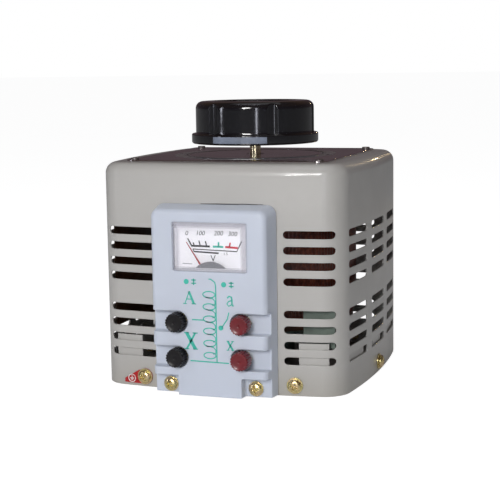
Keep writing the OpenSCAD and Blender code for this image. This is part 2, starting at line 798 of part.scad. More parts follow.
module output_lead() {
    path = [[13.9, front_y, term_high], [11, front_y + 1, 50], [10.8, -85, 43], [13, -82, 35], [15, -78.5, 28],
        [15, -71, 22], [15, -60, 18], [15, -40, 17], [17, -22, 17], [20, -13, 26], [20, -12, 45], [22, -8, 62],
        [27, 4, 74], [18, 22, 81], [4, 27, 83], [0.2, 26.2, 87], [0, 25.75, 89.8]];
    color([0.75, 0.62, 0.15]) tube(curve(path, 4), lead_r, [0.9, 0.1, 0.25]);
}

module meter_leads() {
    high = [[10, meter_back + 0.8, 72], [10.4, meter_back + 2.6, 70], [17, -78.6, 58], [22.4, -79, 51.6],
        [term_x, front_y + 7.2, term_high]];
    low = [[20, meter_back + 0.8, 72], [20.8, meter_back + 2.6, 71], [28, -79, 60], [30, -79, 44],
        [28, -79, 31],
        [23.6, -79.4, 27], [term_x, front_y + 7.2, term_low]];
    color([0.1, 0.1, 0.11]) {
        tube(curve(high, 5), 0.8, [1, 0.2, 0.1]);
        tube(curve(low, 5), 0.8, [1, 0.2, 0.1]);
    }
}

// ---- meter -----------------------------------------------------------------------------------

glass_y = panel_face + wall + 1.2;
dial_y = panel_face + 9.6;
meter_back = front_y + 8;
meter_hw = 28.6;
meter_low = 67;
meter_high = 121;
pivot_r = 0.9;
hollow_r = 9;

module meter_rect(inset) {
    translate([-meter_hw + inset, meter_low + inset])
        square([2 * (meter_hw - inset), meter_high - meter_low - 2 * inset]);
}

cover_x = 1.2;            // the window cover stands a little to the right
cover_out = 4.4;          // how far it stands out of the panel
cover_bevel = 2.2;        // how far its sides slope in
cover_t = 1.2;

module cover_outline(inset) {
    translate([cover_x - window_hw + inset, window_low + inset])
        square([2 * (window_hw - inset), window_high - window_low - 2 * inset]);
}

// A block on the cover's outline, upright in the panel and sloping in towards its front.
module cover_block(inset) {
    hull() {
        upright_plate(panel_face, glass_y - slip) cover_outline(inset);
        upright_plate(panel_face - cover_out + inset, panel_face - cover_out + inset + 0.01)
            cover_outline(inset + cover_bevel);
    }
}

module meter_window() {
    color([0.9, 0.95, 0.95, 0.35]) difference() {
        cover_block(0);
        cover_block(cover_t);
        upright_plate(panel_face, glass_y + 1) cover_outline(cover_t);
    }
}

// The frame behind the cover, round the dial.
module meter_frame() {
    color([0.86, 0.87, 0.88]) difference() {
        upright_plate(glass_y, glass_y + 1.5) meter_rect(0.5);
        upright_plate(glass_y - 1, glass_y + 3) cover_outline(cover_t + 0.3);
    }
}

module meter_dial() {
    color([0.96, 0.96, 0.94]) difference() {
        upright_plate(dial_y, dial_y + 0.6) meter_rect(1.7);
        translate([0, 0, pivot_z]) bar_y(hollow_r, dial_y - 1, dial_y + 3);
    }
}

module meter_housing() {
    color([0.10, 0.10, 0.11]) difference() {
        upright_plate(glass_y + 1.5 + slip, meter_back) meter_rect(0);
        upright_plate(glass_y - 1, dial_y + 0.6 + slip) meter_rect(1.5);
        upright_plate(glass_y - 1, meter_back - 1.5) meter_rect(3);
        translate([0, 0, pivot_z]) bar_y(pivot_r + running, meter_back - 3, meter_back + 3);
    }
}

module meter_magnet() {
    color(steel) translate([0, 0, pivot_z]) difference() {
        union() {
            bar_y(6.5, dial_y + 2, meter_back - 1.5 - slip);
            upright_plate(dial_y + 2, meter_back - 1.5 - slip) translate([-15, 2]) square([30, 14]);
        }
        bar_y(5, dial_y - 2, meter_back + 2);
    }
}

module meter_hub_cover() {
    cover_y = glass_y + 1.5 + 2 * slip;
    color([0.62, 0.64, 0.66]) difference() {
        translate([0, 0, pivot_z]) bar_y(15, cover_y, cover_y + 1.4);
        translate([-40, cover_y - 1, pivot_z - 40]) cube([80, 4, 34]);
    }
}

module meter_pointer() {
    blade_y = dial_y - 1.6;
    color([0.78, 0.08, 0.06]) translate([0, 0, pivot_z]) {
        bar_y(pivot_r, blade_y, meter_back - 0.3);
        bar_y(2.2, blade_y, blade_y + 0.9);
        bar_y(4, dial_y + 5, meter_back - 5);
        rotate([0, -pointer_zero, 0]) upright_plate(blade_y, blade_y + 0.4)
            polygon([[-0.9, -6], [0.9, -6], [0.5, 14], [0.16, pointer_len], [-0.16, pointer_len], [-0.5, 14]]);
    }
}

// ---- screws ------------------------------------------------------------------------------------

washer_t = 1;
screw_r = 2.4;

module flat_washer(r, y) {
    difference() {
        bar_y(r, y - washer_t, y - slip);
        bar_y(screw_r + 0.2, y - washer_t - 1, y + 1);
    }
}

// A cross-slotted pan-head screw, its head seated at y.
module pan_screw(y, len) {
    translate([0, y, 0]) difference() {
        union() {
            rotate([90, 0, 0]) rotate_extrude() {
                polygon([[0, 0], [4.5, 0], [4.5, 1.1], [4.1, 1.75], [3.3, 2.3], [2.1, 2.65], [0, 2.8]]);
            }
            bar_y(screw_r, -0.5, len);
        }
        for (a = [0, 90]) rotate([0, a, 0]) translate([-2.5, -4, -0.45]) cube([5, 2.6, 0.9]);
    }
}

module each_shell_screw() {
    for (s = shell_screws_at) on_side(s[0], s[1]) translate([0, 0, shell_screw_z]) children();
}

module each_panel_screw() {
    for (s = [-1, 1]) translate([s * panel_screw_x, 0, panel_screw_z]) children();
}

module shell_screws() {
    color(zinc_yellow) each_shell_screw() pan_screw(-washer_t - 2 * slip, 7);
}

module panel_screws() {
    color(zinc_yellow) each_panel_screw() pan_screw(channel_face - washer_t - 2 * slip, 15);
}

module screw_washers() {
    color(zinc_yellow) {
        each_shell_screw() flat_washer(5.6, -slip);
        each_panel_screw() flat_washer(5.2, channel_face - slip);
        on_side(0, earth_across) translate([0, 0, shell_screw_z]) flat_washer(5.6, -0.6 - 2 * slip);
    }
}

module earth_screw() {
    color(zinc_yellow) on_side(0, earth_across) translate([0, 0, shell_screw_z])
        pan_screw(-0.6 - washer_t - 3 * slip, 8);
}

module earth_tag() {
    color([0.75, 0.12, 0.10]) on_side(0, earth_across) translate([0, 0, shell_screw_z]) difference() {
        upright_plate(-0.6 - slip, -slip) {
            polygon([[-16.3, -5.2], [0, -5.6], [3, 4], [-5, 4.2], [-16.3, -2.4]]);
            circle(5.6);
        }
        bar_y(screw_r + 0.2, -3, 3);
    }
}

// ---- the whole part ---------------------------------------------------------------------------

base_plate();
shell();
dial_plate();
dial_rivets();
coil_support();
winding_seat();
lower_core_cup();
upper_core_cup();
toroid_core();
winding();
brush_track();
upper_clamp();
clamp_bolts();
clamp_nuts();
lower_bearing();
upper_bearing();
stop_pin();
collector_contact();
terminal_panel();
terminal_board();
terminal_studs();
terminal_nuts();
terminal_lugs();
neutral_link();
input_leads();
output_lead();
meter_leads();
meter_window();
meter_frame();
meter_dial();
meter_housing();
meter_magnet();
meter_hub_cover();
panel_screws();
shell_screws();
screw_washers();
earth_screw();
earth_tag();
shaft();
shaft_collar();
knob();
knob_insert();
knob_set_screw();
knob_index_label();
rotor_hub();
slip_ring();
brush_disc();
disc_screws();
brush_holder();
brush_spring();
carbon_brush();
meter_pointer();
input_live_cap();
input_neutral_cap();
output_live_cap();
output_neutral_cap();
input_live_washer();
input_neutral_washer();
output_live_washer();
output_neutral_washer();
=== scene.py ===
"""A bench variable autotransformer: its looks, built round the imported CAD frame."""

import json
import math

import bmesh
import bpy
from mathutils import Matrix, Vector


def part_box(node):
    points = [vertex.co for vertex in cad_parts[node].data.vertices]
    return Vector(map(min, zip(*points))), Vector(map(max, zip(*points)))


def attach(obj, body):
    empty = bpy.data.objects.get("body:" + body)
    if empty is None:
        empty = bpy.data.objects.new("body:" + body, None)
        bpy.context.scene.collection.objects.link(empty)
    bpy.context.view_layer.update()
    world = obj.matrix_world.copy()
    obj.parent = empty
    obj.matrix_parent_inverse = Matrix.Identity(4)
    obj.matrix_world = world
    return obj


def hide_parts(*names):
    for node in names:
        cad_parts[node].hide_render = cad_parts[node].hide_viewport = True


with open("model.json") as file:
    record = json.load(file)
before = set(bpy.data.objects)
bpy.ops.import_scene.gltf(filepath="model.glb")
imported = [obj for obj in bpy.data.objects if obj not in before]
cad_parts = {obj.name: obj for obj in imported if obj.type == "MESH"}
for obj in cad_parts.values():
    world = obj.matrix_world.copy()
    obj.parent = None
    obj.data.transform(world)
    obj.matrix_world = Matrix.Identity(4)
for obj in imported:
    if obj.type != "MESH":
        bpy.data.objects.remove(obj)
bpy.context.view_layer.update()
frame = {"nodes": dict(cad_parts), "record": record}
nodes = frame["nodes"]
MM = 0.001


# ---- camera, light and floor ------------------------------------------------------

CAMERA_AT = Vector((0.3052, -0.9285, 0.2218))
CAMERA_YAW = math.radians(18.49)
CAMERA_PITCH = math.radians(7.895)
CAMERA_ROLL = math.radians(-0.853)
LENS = 95.9
AMBIENT = 0.19          # strength of the even light from all round
FLOOR_GLOW = 1.52
CARD_PAINTED_LIGHT = 0.11        # painted light: the dial card glows a little, for the light it gathers under its clear cover


def make_camera():
    forward = Vector((-math.sin(CAMERA_YAW) * math.cos(CAMERA_PITCH),
                      math.cos(CAMERA_YAW) * math.cos(CAMERA_PITCH),
                      -math.sin(CAMERA_PITCH)))
    right = Vector((math.cos(CAMERA_YAW), math.sin(CAMERA_YAW), 0))
    up = right.cross(forward)
    rolled_right = right * math.cos(CAMERA_ROLL) + up * math.sin(CAMERA_ROLL)
    rolled_up = up * math.cos(CAMERA_ROLL) - right * math.sin(CAMERA_ROLL)
    data = bpy.data.cameras.new("camera")
    data.lens = LENS
    data.sensor_width = 36
    data.clip_start = 0.01
    camera = bpy.data.objects.new("camera", data)
    turn = Matrix((rolled_right, rolled_up, -forward)).transposed()
    camera.matrix_world = Matrix.Translation(CAMERA_AT) @ turn.to_4x4()
    bpy.context.collection.objects.link(camera)
    bpy.context.scene.camera = camera


def area_light(name, at, target, size, power, colour=(1, 1, 1), size_y=None):
    data = bpy.data.lights.new(name, "AREA")
    data.energy = power
    data.color = colour
    data.size = size
    if size_y:
        data.shape = "RECTANGLE"
        data.size_y = size_y
    light = bpy.data.objects.new(name, data)
    light.location = at
    light.rotation_euler = (Vector(target) - Vector(at)).to_track_quat("-Z", "Y").to_euler()
    bpy.context.collection.objects.link(light)


def make_world():
    """White behind the object, a low even light on it, and a dim warm room in its glossy surfaces."""
    world = bpy.data.worlds.new("studio")
    bpy.context.scene.world = world
    world.use_nodes = True
    tree = world.node_tree
    tree.nodes.clear()
    output = tree.nodes.new("ShaderNodeOutputWorld")
    path = tree.nodes.new("ShaderNodeLightPath")
    seen = background(tree, (1, 1, 1), 1.0)
    soft = background(tree, (0.95, 0.97, 1), AMBIENT)
    room = background(tree, (1, 1, 1), 1.0)
    place = tree.nodes.new("ShaderNodeTexCoord")
    split = tree.nodes.new("ShaderNodeSeparateXYZ")
    tree.links.new(place.outputs["Generated"], split.inputs["Vector"])
    heights = [(0.0, (0.10, 0.09, 0.09)), (0.04, (0.085, 0.062, 0.07)), (0.3, (0.07, 0.05, 0.055)),
               (0.6, (0.13, 0.08, 0.055)), (1.0, (0.05, 0.04, 0.04))]
    tree.links.new(ramp(tree, split.outputs["Z"], heights), room.inputs["Color"])
    by_gloss = tree.nodes.new("ShaderNodeMixShader")
    by_camera = tree.nodes.new("ShaderNodeMixShader")
    tree.links.new(path.outputs["Is Glossy Ray"], by_gloss.inputs[0])
    tree.links.new(soft.outputs[0], by_gloss.inputs[1])
    tree.links.new(room.outputs[0], by_gloss.inputs[2])
    tree.links.new(path.outputs["Is Camera Ray"], by_camera.inputs[0])
    tree.links.new(by_gloss.outputs[0], by_camera.inputs[1])
    tree.links.new(seen.outputs[0], by_camera.inputs[2])
    tree.links.new(by_camera.outputs[0], output.inputs["Surface"])


def background(tree, colour, strength):
    node = tree.nodes.new("ShaderNodeBackground")
    node.inputs["Color"].default_value = (*colour, 1)
    node.inputs["Strength"].default_value = strength
    return node


def floor_material():
    """A pale floor that glows a little where it is seen, so that it meets the white background."""
    material, tree, bsdf = shader("floor")
    tree.links.new(ramp(tree, noise(tree, 3), [(0.3, (0.90, 0.90, 0.90)), (0.7, (0.93, 0.93, 0.93))]),
                   bsdf.inputs["Base Color"])
    bsdf.inputs["Roughness"].default_value = 0.8
    glow = tree.nodes.new("ShaderNodeEmission")
    glow.inputs["Strength"].default_value = FLOOR_GLOW
    path = tree.nodes.new("ShaderNodeLightPath")
    share = tree.nodes.new("ShaderNodeMath")
    share.operation = "MULTIPLY"
    share.inputs[1].default_value = 0.6
    mixed = tree.nodes.new("ShaderNodeMixShader")
    tree.links.new(path.outputs["Is Camera Ray"], share.inputs[0])
    tree.links.new(share.outputs[0], mixed.inputs[0])
    tree.links.new(bsdf.outputs[0], mixed.inputs[1])
    tree.links.new(glow.outputs[0], mixed.inputs[2])
    tree.links.new(mixed.outputs[0], tree.nodes["Material Output"].inputs["Surface"])
    return material


def make_stage():
    """The floor and the lights; sizes in metres, powers in watts."""
    bpy.ops.mesh.primitive_plane_add(size=60, location=(0, 0, -0.0002))
    floor = bpy.context.object
    floor.name = "floor"
    floor.data.materials.append(floor_material())
    area_light("key", (0.06, -1.76, 0.74), (0, 0, 0.09), 0.45, 14, (1, 0.99, 0.98))
    area_light("flash", (-0.10, -1.55, 0.37), (0.03, 0, 0.12), 0.05, 1.6, (1, 1, 1))
    area_light("strip", (0.62, -1.6, 0.30), (0, 0, 0.12), 0.07, 1.9, (0.86, 0.88, 1), 0.8)
    area_light("left", (-1.5, -1.3, 0.5), (0, 0, 0.12), 0.07, 2.6, (0.86, 0.88, 1), 0.8)
    area_light("top", (0.1, 0.1, 1.9), (0, 0, 0.1), 1.4, 2.5)
    area_light("top_strip", (-0.05, -0.5, 1.8), (0, 0, 0.15), 1.0, 1.1, (0.9, 0.9, 1), 0.05)
    area_light("warm_back", (0.17, 1.25, 0.44), (0.08, 0.06, 0.15), 0.03, 0.3, (1, 0.75, 0.42))


# ---- materials -----------------------------------------------------------------------

def shader(name):
    material = bpy.data.materials.new(name)
    material.use_nodes = True
    return material, material.node_tree, material.node_tree.nodes["Principled BSDF"]


def noise(tree, scale, detail=4.0, stretch=(1, 1, 1)):
    """A noise texture on the piece's own coordinates, its scale in waves per metre."""
    place = tree.nodes.new("ShaderNodeTexCoord")
    mapping = tree.nodes.new("ShaderNodeMapping")
    mapping.inputs["Scale"].default_value = stretch
    texture = tree.nodes.new("ShaderNodeTexNoise")
    texture.inputs["Scale"].default_value = scale
    texture.inputs["Detail"].default_value = detail
    texture.inputs["Roughness"].default_value = 0.55
    tree.links.new(place.outputs["Object"], mapping.inputs["Vector"])
    tree.links.new(mapping.outputs["Vector"], texture.inputs["Vector"])
    return texture.outputs["Fac"]


def ramp(tree, source, stops):
    """A colour ramp on a value: stops are (position, colour)."""
    node = tree.nodes.new("ShaderNodeValToRGB")
    band = node.color_ramp
    while len(band.elements) < len(stops):
        band.elements.new(0.5)
    for element, (position, colour) in zip(band.elements, stops):
        element.position = position
        element.color = (*colour[:3], 1)
    tree.links.new(source, node.inputs["Fac"])
    return node.outputs["Color"]


def spread(tree, source, low, high):
    """Maps a noise's usual range onto low to high."""
    node = tree.nodes.new("ShaderNodeMapRange")
    node.inputs["From Min"].default_value = 0.3
    node.inputs["From Max"].default_value = 0.7
    node.inputs["To Min"].default_value = low
    node.inputs["To Max"].default_value = high
    tree.links.new(source, node.inputs["Value"])
    return node.outputs["Result"]


def bump(tree, bsdf, source, height, strength=1.0):
    node = tree.nodes.new("ShaderNodeBump")
    node.inputs["Distance"].default_value = height
    node.inputs["Strength"].default_value = strength
    tree.links.new(source, node.inputs["Height"])
    tree.links.new(node.outputs["Normal"], bsdf.inputs["Normal"])


def tint(colour, k):
    return tuple(min(1, max(0, c * k)) for c in colour)


def plain(name, colour, roughness, metallic=0.0, mottle=0.06, mottle_scale=60, grain=900,
          grain_height=0.02 * MM, coat=0.0, stretch=(1, 1, 1), specular=0.5, glow=0.0):
    """A surface with faint mottling, a fine grain and an uneven gloss."""
    material, tree, bsdf = shader(name)
    bsdf.inputs["Metallic"].default_value = metallic
    bsdf.inputs["Coat Weight"].default_value = coat
    bsdf.inputs["Coat Roughness"].default_value = 0.08
    bsdf.inputs["Specular IOR Level"].default_value = specular
    # an emission strength; the dial card's is painted light
    bsdf.inputs["Emission Color"].default_value = (0.98, 0.98, 1, 1)
    bsdf.inputs["Emission Strength"].default_value = glow
    blotches = noise(tree, mottle_scale, stretch=stretch)
    shades = [(0.3, tint(colour, 1 - mottle)), (0.55, colour), (0.75, tint(colour, 1 + mottle))]
    tree.links.new(ramp(tree, blotches, shades), bsdf.inputs["Base Color"])
    fine = noise(tree, grain, detail=2, stretch=stretch)
    uneven = spread(tree, noise(tree, mottle_scale * 2.7), roughness * 0.88, roughness * 1.12)
    tree.links.new(uneven, bsdf.inputs["Roughness"])
    bump(tree, bsdf, fine, grain_height)
    return material


def shell_paint():
    """Semi-gloss enamel over steel: an orange-peel skin, faint dust, and darker towards the bottom."""
    colour = (0.470, 0.458, 0.435)
    material, tree, bsdf = shader("shell_paint")
    bsdf.inputs["Coat Weight"].default_value = 0.5
    bsdf.inputs["Coat Roughness"].default_value = 0.09
    patches = noise(tree, 14, detail=6)
    base = ramp(tree, patches, [(0.25, tint(colour, 0.93)), (0.5, colour), (0.8, tint(colour, 1.05))])
    speck_tones = [(0.0, (0.82, 0.8, 0.78)), (0.42, (1, 1, 1)), (1.0, (1, 1, 1))]
    specks = ramp(tree, noise(tree, 2600, detail=2), speck_tones)
    # darker within 20 mm of the bottom
    low_darkening = ramp(tree, height_gradient(tree, 0.0, 0.02), [(0.0, (0.86, 0.84, 0.8)), (1.0, (1, 1, 1))])
    speckled = multiply(tree, base, specks, 0.35)
    tree.links.new(multiply(tree, speckled, low_darkening, 0.8), bsdf.inputs["Base Color"])
    tree.links.new(spread(tree, noise(tree, 45), 0.33, 0.45), bsdf.inputs["Roughness"])
    bump(tree, bsdf, noise(tree, 620, detail=3), 0.06 * MM, 0.6)
    return material


def height_gradient(tree, low, high):
    """0 at the height low and 1 at the height high."""
    place = tree.nodes.new("ShaderNodeTexCoord")
    split = tree.nodes.new("ShaderNodeSeparateXYZ")
    node = tree.nodes.new("ShaderNodeMapRange")
    node.inputs["From Min"].default_value = low
    node.inputs["From Max"].default_value = high
    tree.links.new(place.outputs["Object"], split.inputs["Vector"])
    tree.links.new(split.outputs["Z"], node.inputs["Value"])
    return node.outputs["Result"]


def multiply(tree, a, b, amount):
    node = tree.nodes.new("ShaderNodeMix")
    node.data_type = "RGBA"
    node.blend_type = "MULTIPLY"
    node.inputs["Factor"].default_value = amount
    tree.links.new(a, node.inputs[6])
    tree.links.new(b, node.inputs[7])
    return node.outputs[2]


def panel_plastic():
    """A bluish white moulding, a little cloudy, with light passing into its surface."""
    colour = (0.600, 0.645, 0.735)
    material, tree, bsdf = shader("panel_white")
    bsdf.inputs["Subsurface Weight"].default_value = 0.25
    bsdf.inputs["Subsurface Scale"].default_value = 0.002
    bsdf.inputs["Subsurface Radius"].default_value = (1, 1, 1.1)
    clouds = noise(tree, 22, detail=5)
    shades = [(0.3, tint(colour, 0.985)), (0.5, colour), (0.75, tint(colour, 1.015))]
    tree.links.new(ramp(tree, clouds, shades), bsdf.inputs["Base Color"])
    tree.links.new(spread(tree, noise(tree, 90), 0.34, 0.44), bsdf.inputs["Roughness"])
    bump(tree, bsdf, noise(tree, 420, detail=3), 0.02 * MM, 0.4)
    return material


def yellow_zinc():
    """Yellow passivation: straw gold that drifts towards pink and green."""
    material, tree, bsdf = shader("yellow_zinc")
    bsdf.inputs["Metallic"].default_value = 1.0
    hues = [(0.25, (0.55, 0.50, 0.22)), (0.45, (0.74, 0.64, 0.30)), (0.6, (0.80, 0.60, 0.36)),
            (0.78, (0.55, 0.62, 0.38))]
    tree.links.new(ramp(tree, noise(tree, 210, detail=3), hues), bsdf.inputs["Base Color"])
    tree.links.new(spread(tree, noise(tree, 700), 0.2, 0.36), bsdf.inputs["Roughness"])
    bump(tree, bsdf, noise(tree, 1500, detail=2), 0.03 * MM)
    return material


def polished_plate():
    """The dial plate: bright metal with fine scratches and a faint warm cast."""
    material, tree, bsdf = shader("dial_metal")
    bsdf.inputs["Metallic"].default_value = 1.0
    hues = [(0.3, (0.50, 0.46, 0.45)), (0.6, (0.60, 0.56, 0.56)), (0.8, (0.66, 0.62, 0.61))]
    tree.links.new(ramp(tree, noise(tree, 30), hues), bsdf.inputs["Base Color"])
    tree.links.new(spread(tree, noise(tree, 80), 0.05, 0.12), bsdf.inputs["Roughness"])
    bump(tree, bsdf, noise(tree, 400, detail=4, stretch=(1, 12, 1)), 0.012 * MM)
    return material


def wound_copper():
    """Enamelled wire: deep red-brown, each turn a little different."""
    material, tree, bsdf = shader("enamelled_copper")
    bsdf.inputs["Coat Weight"].default_value = 0.6
    bsdf.inputs["Coat Roughness"].default_value = 0.15
    bsdf.inputs["Metallic"].default_value = 0.35
    hues = [(0.3, (0.085, 0.018, 0.010)), (0.5, (0.15, 0.032, 0.018)), (0.75, (0.23, 0.06, 0.03))]
    tree.links.new(ramp(tree, noise(tree, 330, detail=3), hues), bsdf.inputs["Base Color"])
    tree.links.new(spread(tree, noise(tree, 500), 0.3, 0.48), bsdf.inputs["Roughness"])
    bump(tree, bsdf, noise(tree, 1300), 0.04 * MM)
    return material


def clear_plastic(name, colour, alpha, roughness):
    """Clear moulded plastic: faintly tinted, glossy, and seen through."""
    material, tree, bsdf = shader(name)
    bsdf.inputs["Alpha"].default_value = alpha
    shades = [(0.3, tint(colour, 0.92)), (0.7, tint(colour, 1.06))]
    tree.links.new(ramp(tree, noise(tree, 90), shades), bsdf.inputs["Base Color"])
    gloss = spread(tree, noise(tree, 120), roughness * 0.6, roughness * 1.4)
    tree.links.new(gloss, bsdf.inputs["Roughness"])
    bump(tree, bsdf, noise(tree, 160), 0.02 * MM)
    return material


# Colour, roughness, and what differs from a plain dull surface.
PLAIN_FINISHES = {
    "bright_steel": ((0.50, 0.50, 0.51), 0.3, dict(metallic=1.0, grain=1400)),
    "cast_support": ((0.16, 0.20, 0.17), 0.55,
                     dict(metallic=0.4, mottle=0.15, mottle_scale=120, grain=500, grain_height=0.1 * MM)),
    "board": ((0.10, 0.045, 0.02), 0.5,
              dict(mottle=0.2, mottle_scale=90, grain=700, grain_height=0.04 * MM, stretch=(1, 1, 6))),
    "bare_copper": ((0.62, 0.27, 0.14), 0.25, dict(metallic=1.0, mottle=0.12, mottle_scale=200, grain=1600)),
    "black_moulding": ((0.006, 0.006, 0.008), 0.12,
                       dict(mottle=0.3, mottle_scale=40, grain=500, grain_height=0.012 * MM, coat=0.4)),
    "red_moulding": ((0.17, 0.008, 0.014), 0.34, dict(mottle=0.15, mottle_scale=160, grain=700, coat=0.1)),
    "cap_black": ((0.008, 0.007, 0.008), 0.38, dict(mottle=0.2, mottle_scale=160, grain=700, specular=0.3)),
    "brass_parts": ((0.60, 0.46, 0.17), 0.28, dict(metallic=1.0, mottle=0.1, mottle_scale=180, grain=1300)),
    # the dial card glows a little: painted light, for the light under its clear cover
    "dial_card": ((0.90, 0.89, 0.93), 0.55,
                  dict(mottle=0.015, mottle_scale=50, grain=1500, grain_height=0.01 * MM, glow=CARD_PAINTED_LIGHT)),
    "scale_band": ((0.52, 0.53, 0.55), 0.3,
                   dict(metallic=0.85, mottle_scale=80, grain=1500, grain_height=0.01 * MM)),
    "grey_cover": ((0.22, 0.22, 0.24), 0.4, dict(mottle=0.05, mottle_scale=120)),
    "red_paint": ((0.42, 0.012, 0.014), 0.32, dict(mottle=0.1, mottle_scale=150)),
    "index_band": ((0.20, 0.235, 0.31), 0.42, dict(mottle=0.22, mottle_scale=95)),
    "carbon": ((0.02, 0.02, 0.022), 0.6,
               dict(mottle=0.2, mottle_scale=300, grain=1500, grain_height=0.05 * MM)),
    "red_insulation": ((0.32, 0.02, 0.016), 0.45, {}),
    "yellow_insulation": ((0.50, 0.34, 0.03), 0.45, {}),
    "black_insulation": ((0.01, 0.01, 0.012), 0.45, {}),
    "rivet": ((0.22, 0.20, 0.20), 0.5, dict(metallic=0.9, mottle=0.15, mottle_scale=300, grain=1500)),
    # the shaft's own yellow zinc, painted lighter as a highlight along it
    "zinc_with_painted_highlight": ((0.85, 0.78, 0.52), 0.24,
                     dict(metallic=1.0, mottle=0.1, mottle_scale=150, grain=1500, stretch=(1, 1, 8))),
    # a painted shadow, for the shaded gap behind the panel's top
    "painted_gap_shadow": ((0.01, 0.01, 0.012), 0.8, {}),
}

# Colour of each printing ink, and how far its tone wanders.
INKS = {
    "ink_green": ((0.055, 0.53, 0.42), 0.14),
    "ink_black": ((0.012, 0.012, 0.015), 0.1),
    "ink_red": ((0.62, 0.02, 0.05), 0.1),
    "ink_white": ((0.85, 0.82, 0.80), 0.05),
}

MATERIALS = {}


def make_materials():
    m = MATERIALS
    m["shell_paint"] = shell_paint()
    m["panel_white"] = panel_plastic()
    m["yellow_zinc"] = yellow_zinc()
    m["dial_metal"] = polished_plate()
    m["enamelled_copper"] = wound_copper()
    m["clear_window"] = clear_plastic("clear_window", (0.93, 0.95, 1.0), 0.03, 0.04)
    # the cover's sloping sides: a translucent purple-grey, a painted reflection
    m["clear_rim_painted_reflection"] = clear_plastic("clear_rim_painted_reflection", (0.50, 0.48, 0.56), 0.30, 0.12)
    for name, (colour, roughness, rest) in PLAIN_FINISHES.items():
        m[name] = plain(name, colour, roughness, **rest)
    for name, (colour, mottle) in INKS.items():
        m[name] = plain(name, colour, 0.5, mottle=mottle, mottle_scale=500, grain=1500,
                        grain_height=0.01 * MM)


OWN_FINISHES = {"dial_rivets": "rivet", "shaft": "zinc_with_painted_highlight"}


def finish_cad_nodes():
    """Every CAD node takes its slot's finish or its own, and slightly broken edges."""
    slots = {s["node"]: s["material_slot"] for s in frame["record"]["subparts"]}
    for name, obj in nodes.items():
        obj.data.materials.clear()
        obj.data.materials.append(MATERIALS[OWN_FINISHES.get(name, slots[name])])
        weld(obj)
        soften(obj, 0.15 * MM, 1)


def weld(obj):
    """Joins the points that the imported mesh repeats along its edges."""
    joined = obj.modifiers.new("weld", "WELD")
    joined.merge_threshold = 0.002 * MM


def soften(obj, width, segments):
    """Rounds the sharp edges, and shades the faces smoothly."""
    bevel = obj.modifiers.new("edges", "BEVEL")
    bevel.width = width
    bevel.segments = segments
    bevel.limit_method = "ANGLE"
    bevel.angle_limit = math.radians(35)
    bevel.use_clamp_overlap = True
    bevel.harden_normals = False
    normals = obj.modifiers.new("normals", "WEIGHTED_NORMAL")
    normals.keep_sharp = True
    for face in obj.data.polygons:
        face.use_smooth = True


# ---- mesh helpers --------------------------------------------------------------------

def add_mesh(name, points, faces, material, body, replaces=()):
    """Makes one piece of the visual model, hangs it on its body and hides the CAD parts it replaces."""
    mesh = bpy.data.meshes.new(name)
    mesh.from_pydata([tuple(p) for p in points], [], faces)
    bm = bmesh.new()
    bm.from_mesh(mesh)
    bmesh.ops.remove_doubles(bm, verts=bm.verts, dist=1e-7)
    bmesh.ops.dissolve_degenerate(bm, edges=bm.edges, dist=1e-7)
    bmesh.ops.recalc_face_normals(bm, faces=bm.faces)
    bm.to_mesh(mesh)
    bm.free()
    for face in mesh.polygons:
        face.use_smooth = True
    obj = bpy.data.objects.new(name, mesh)
    bpy.context.collection.objects.link(obj)
    obj.data.materials.append(MATERIALS[material])
    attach(obj, body)
    if replaces:
        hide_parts(*replaces)
    return obj


def grid_faces(rows, columns, wrap_rows=False, wrap_columns=False, first=0):
    """Quads over a grid of points that is stored row by row."""
    faces = []
    for i in range(rows if wrap_rows else rows - 1):
        for j in range(columns if wrap_columns else columns - 1):
            i2 = (i + 1) % rows
            j2 = (j + 1) % columns
            faces.append([first + i * columns + j, first + i * columns + j2,
                          first + i2 * columns + j2, first + i2 * columns + j])
    return faces


def arc(centre, radius, start, end, steps):
    """Points on an arc in a plane, from one angle to another, in degrees."""
    angles = [math.radians(start + (end - start) * i / steps) for i in range(steps + 1)]
    return [(centre[0] + radius * math.cos(a), centre[1] + radius * math.sin(a)) for a in angles]


# ---- shell ---------------------------------------------------------------------------

SHELL_LOW, SHELL_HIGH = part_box("shell")
HALF_W = SHELL_HIGH.x
HALF_D = -SHELL_LOW.y
SHELL_H = SHELL_HIGH.z
SIDE_R = 581 * MM                      # the slight bulge of each side
CORNER_R = 18.4 * MM                   # the upright corners
EDGE_R = 8 * MM                        # the edge round the top
SHEET = 1.2 * MM
SHAFT_HOLE_R = 12 * MM
SCREW_ACROSS = 54.4 * MM               # the front and back screws, from the middle of their side
SCREW_Z = 7.4 * MM
SLOT_R = 2.6 * MM
SLOT_ROWS = [(base + i * 10.6) * MM for base in (24, 77.8) for i in range(4)]
# Slot columns: the middle of a slot, across its side, and its length.
FRONT_COLUMNS = [(-63.6 * MM, 36.8 * MM), (64.6 * MM, 34.8 * MM)]
OTHER_COLUMNS = [(c * MM, 38.8 * MM) for c in (-50, 0, 50)]
OPENING_HALF = 30 * MM                 # the openings behind the terminal panel
LOW_OPENING = (16 * MM, 62 * MM)
HIGH_OPENING = (65.5 * MM, 122 * MM)
CORNER_STEP = math.radians(7)
# Rows of the shell's grid, counted from its first height, that are left out.
GAP_ROWS = range(0, 2 * len(SLOT_ROWS), 2)
OPENING_ROWS = (0, 8)


def corner_layout():
    """The front right corner's centre, and the angles at which its arc starts and ends."""
    front = Vector((0, SIDE_R - HALF_D))
    right = Vector((HALF_W - SIDE_R, 0))
    span = right - front
    reach = math.sqrt((SIDE_R - CORNER_R) ** 2 - (span.length / 2) ** 2)
    centre = (front + right) / 2 + Vector((-span.y, span.x)) / span.length * reach
    start = math.atan2(centre.x - front.x, front.y - centre.y)
    end = math.atan2(centre.x - right.x, right.y - centre.y)
    return centre, start, end


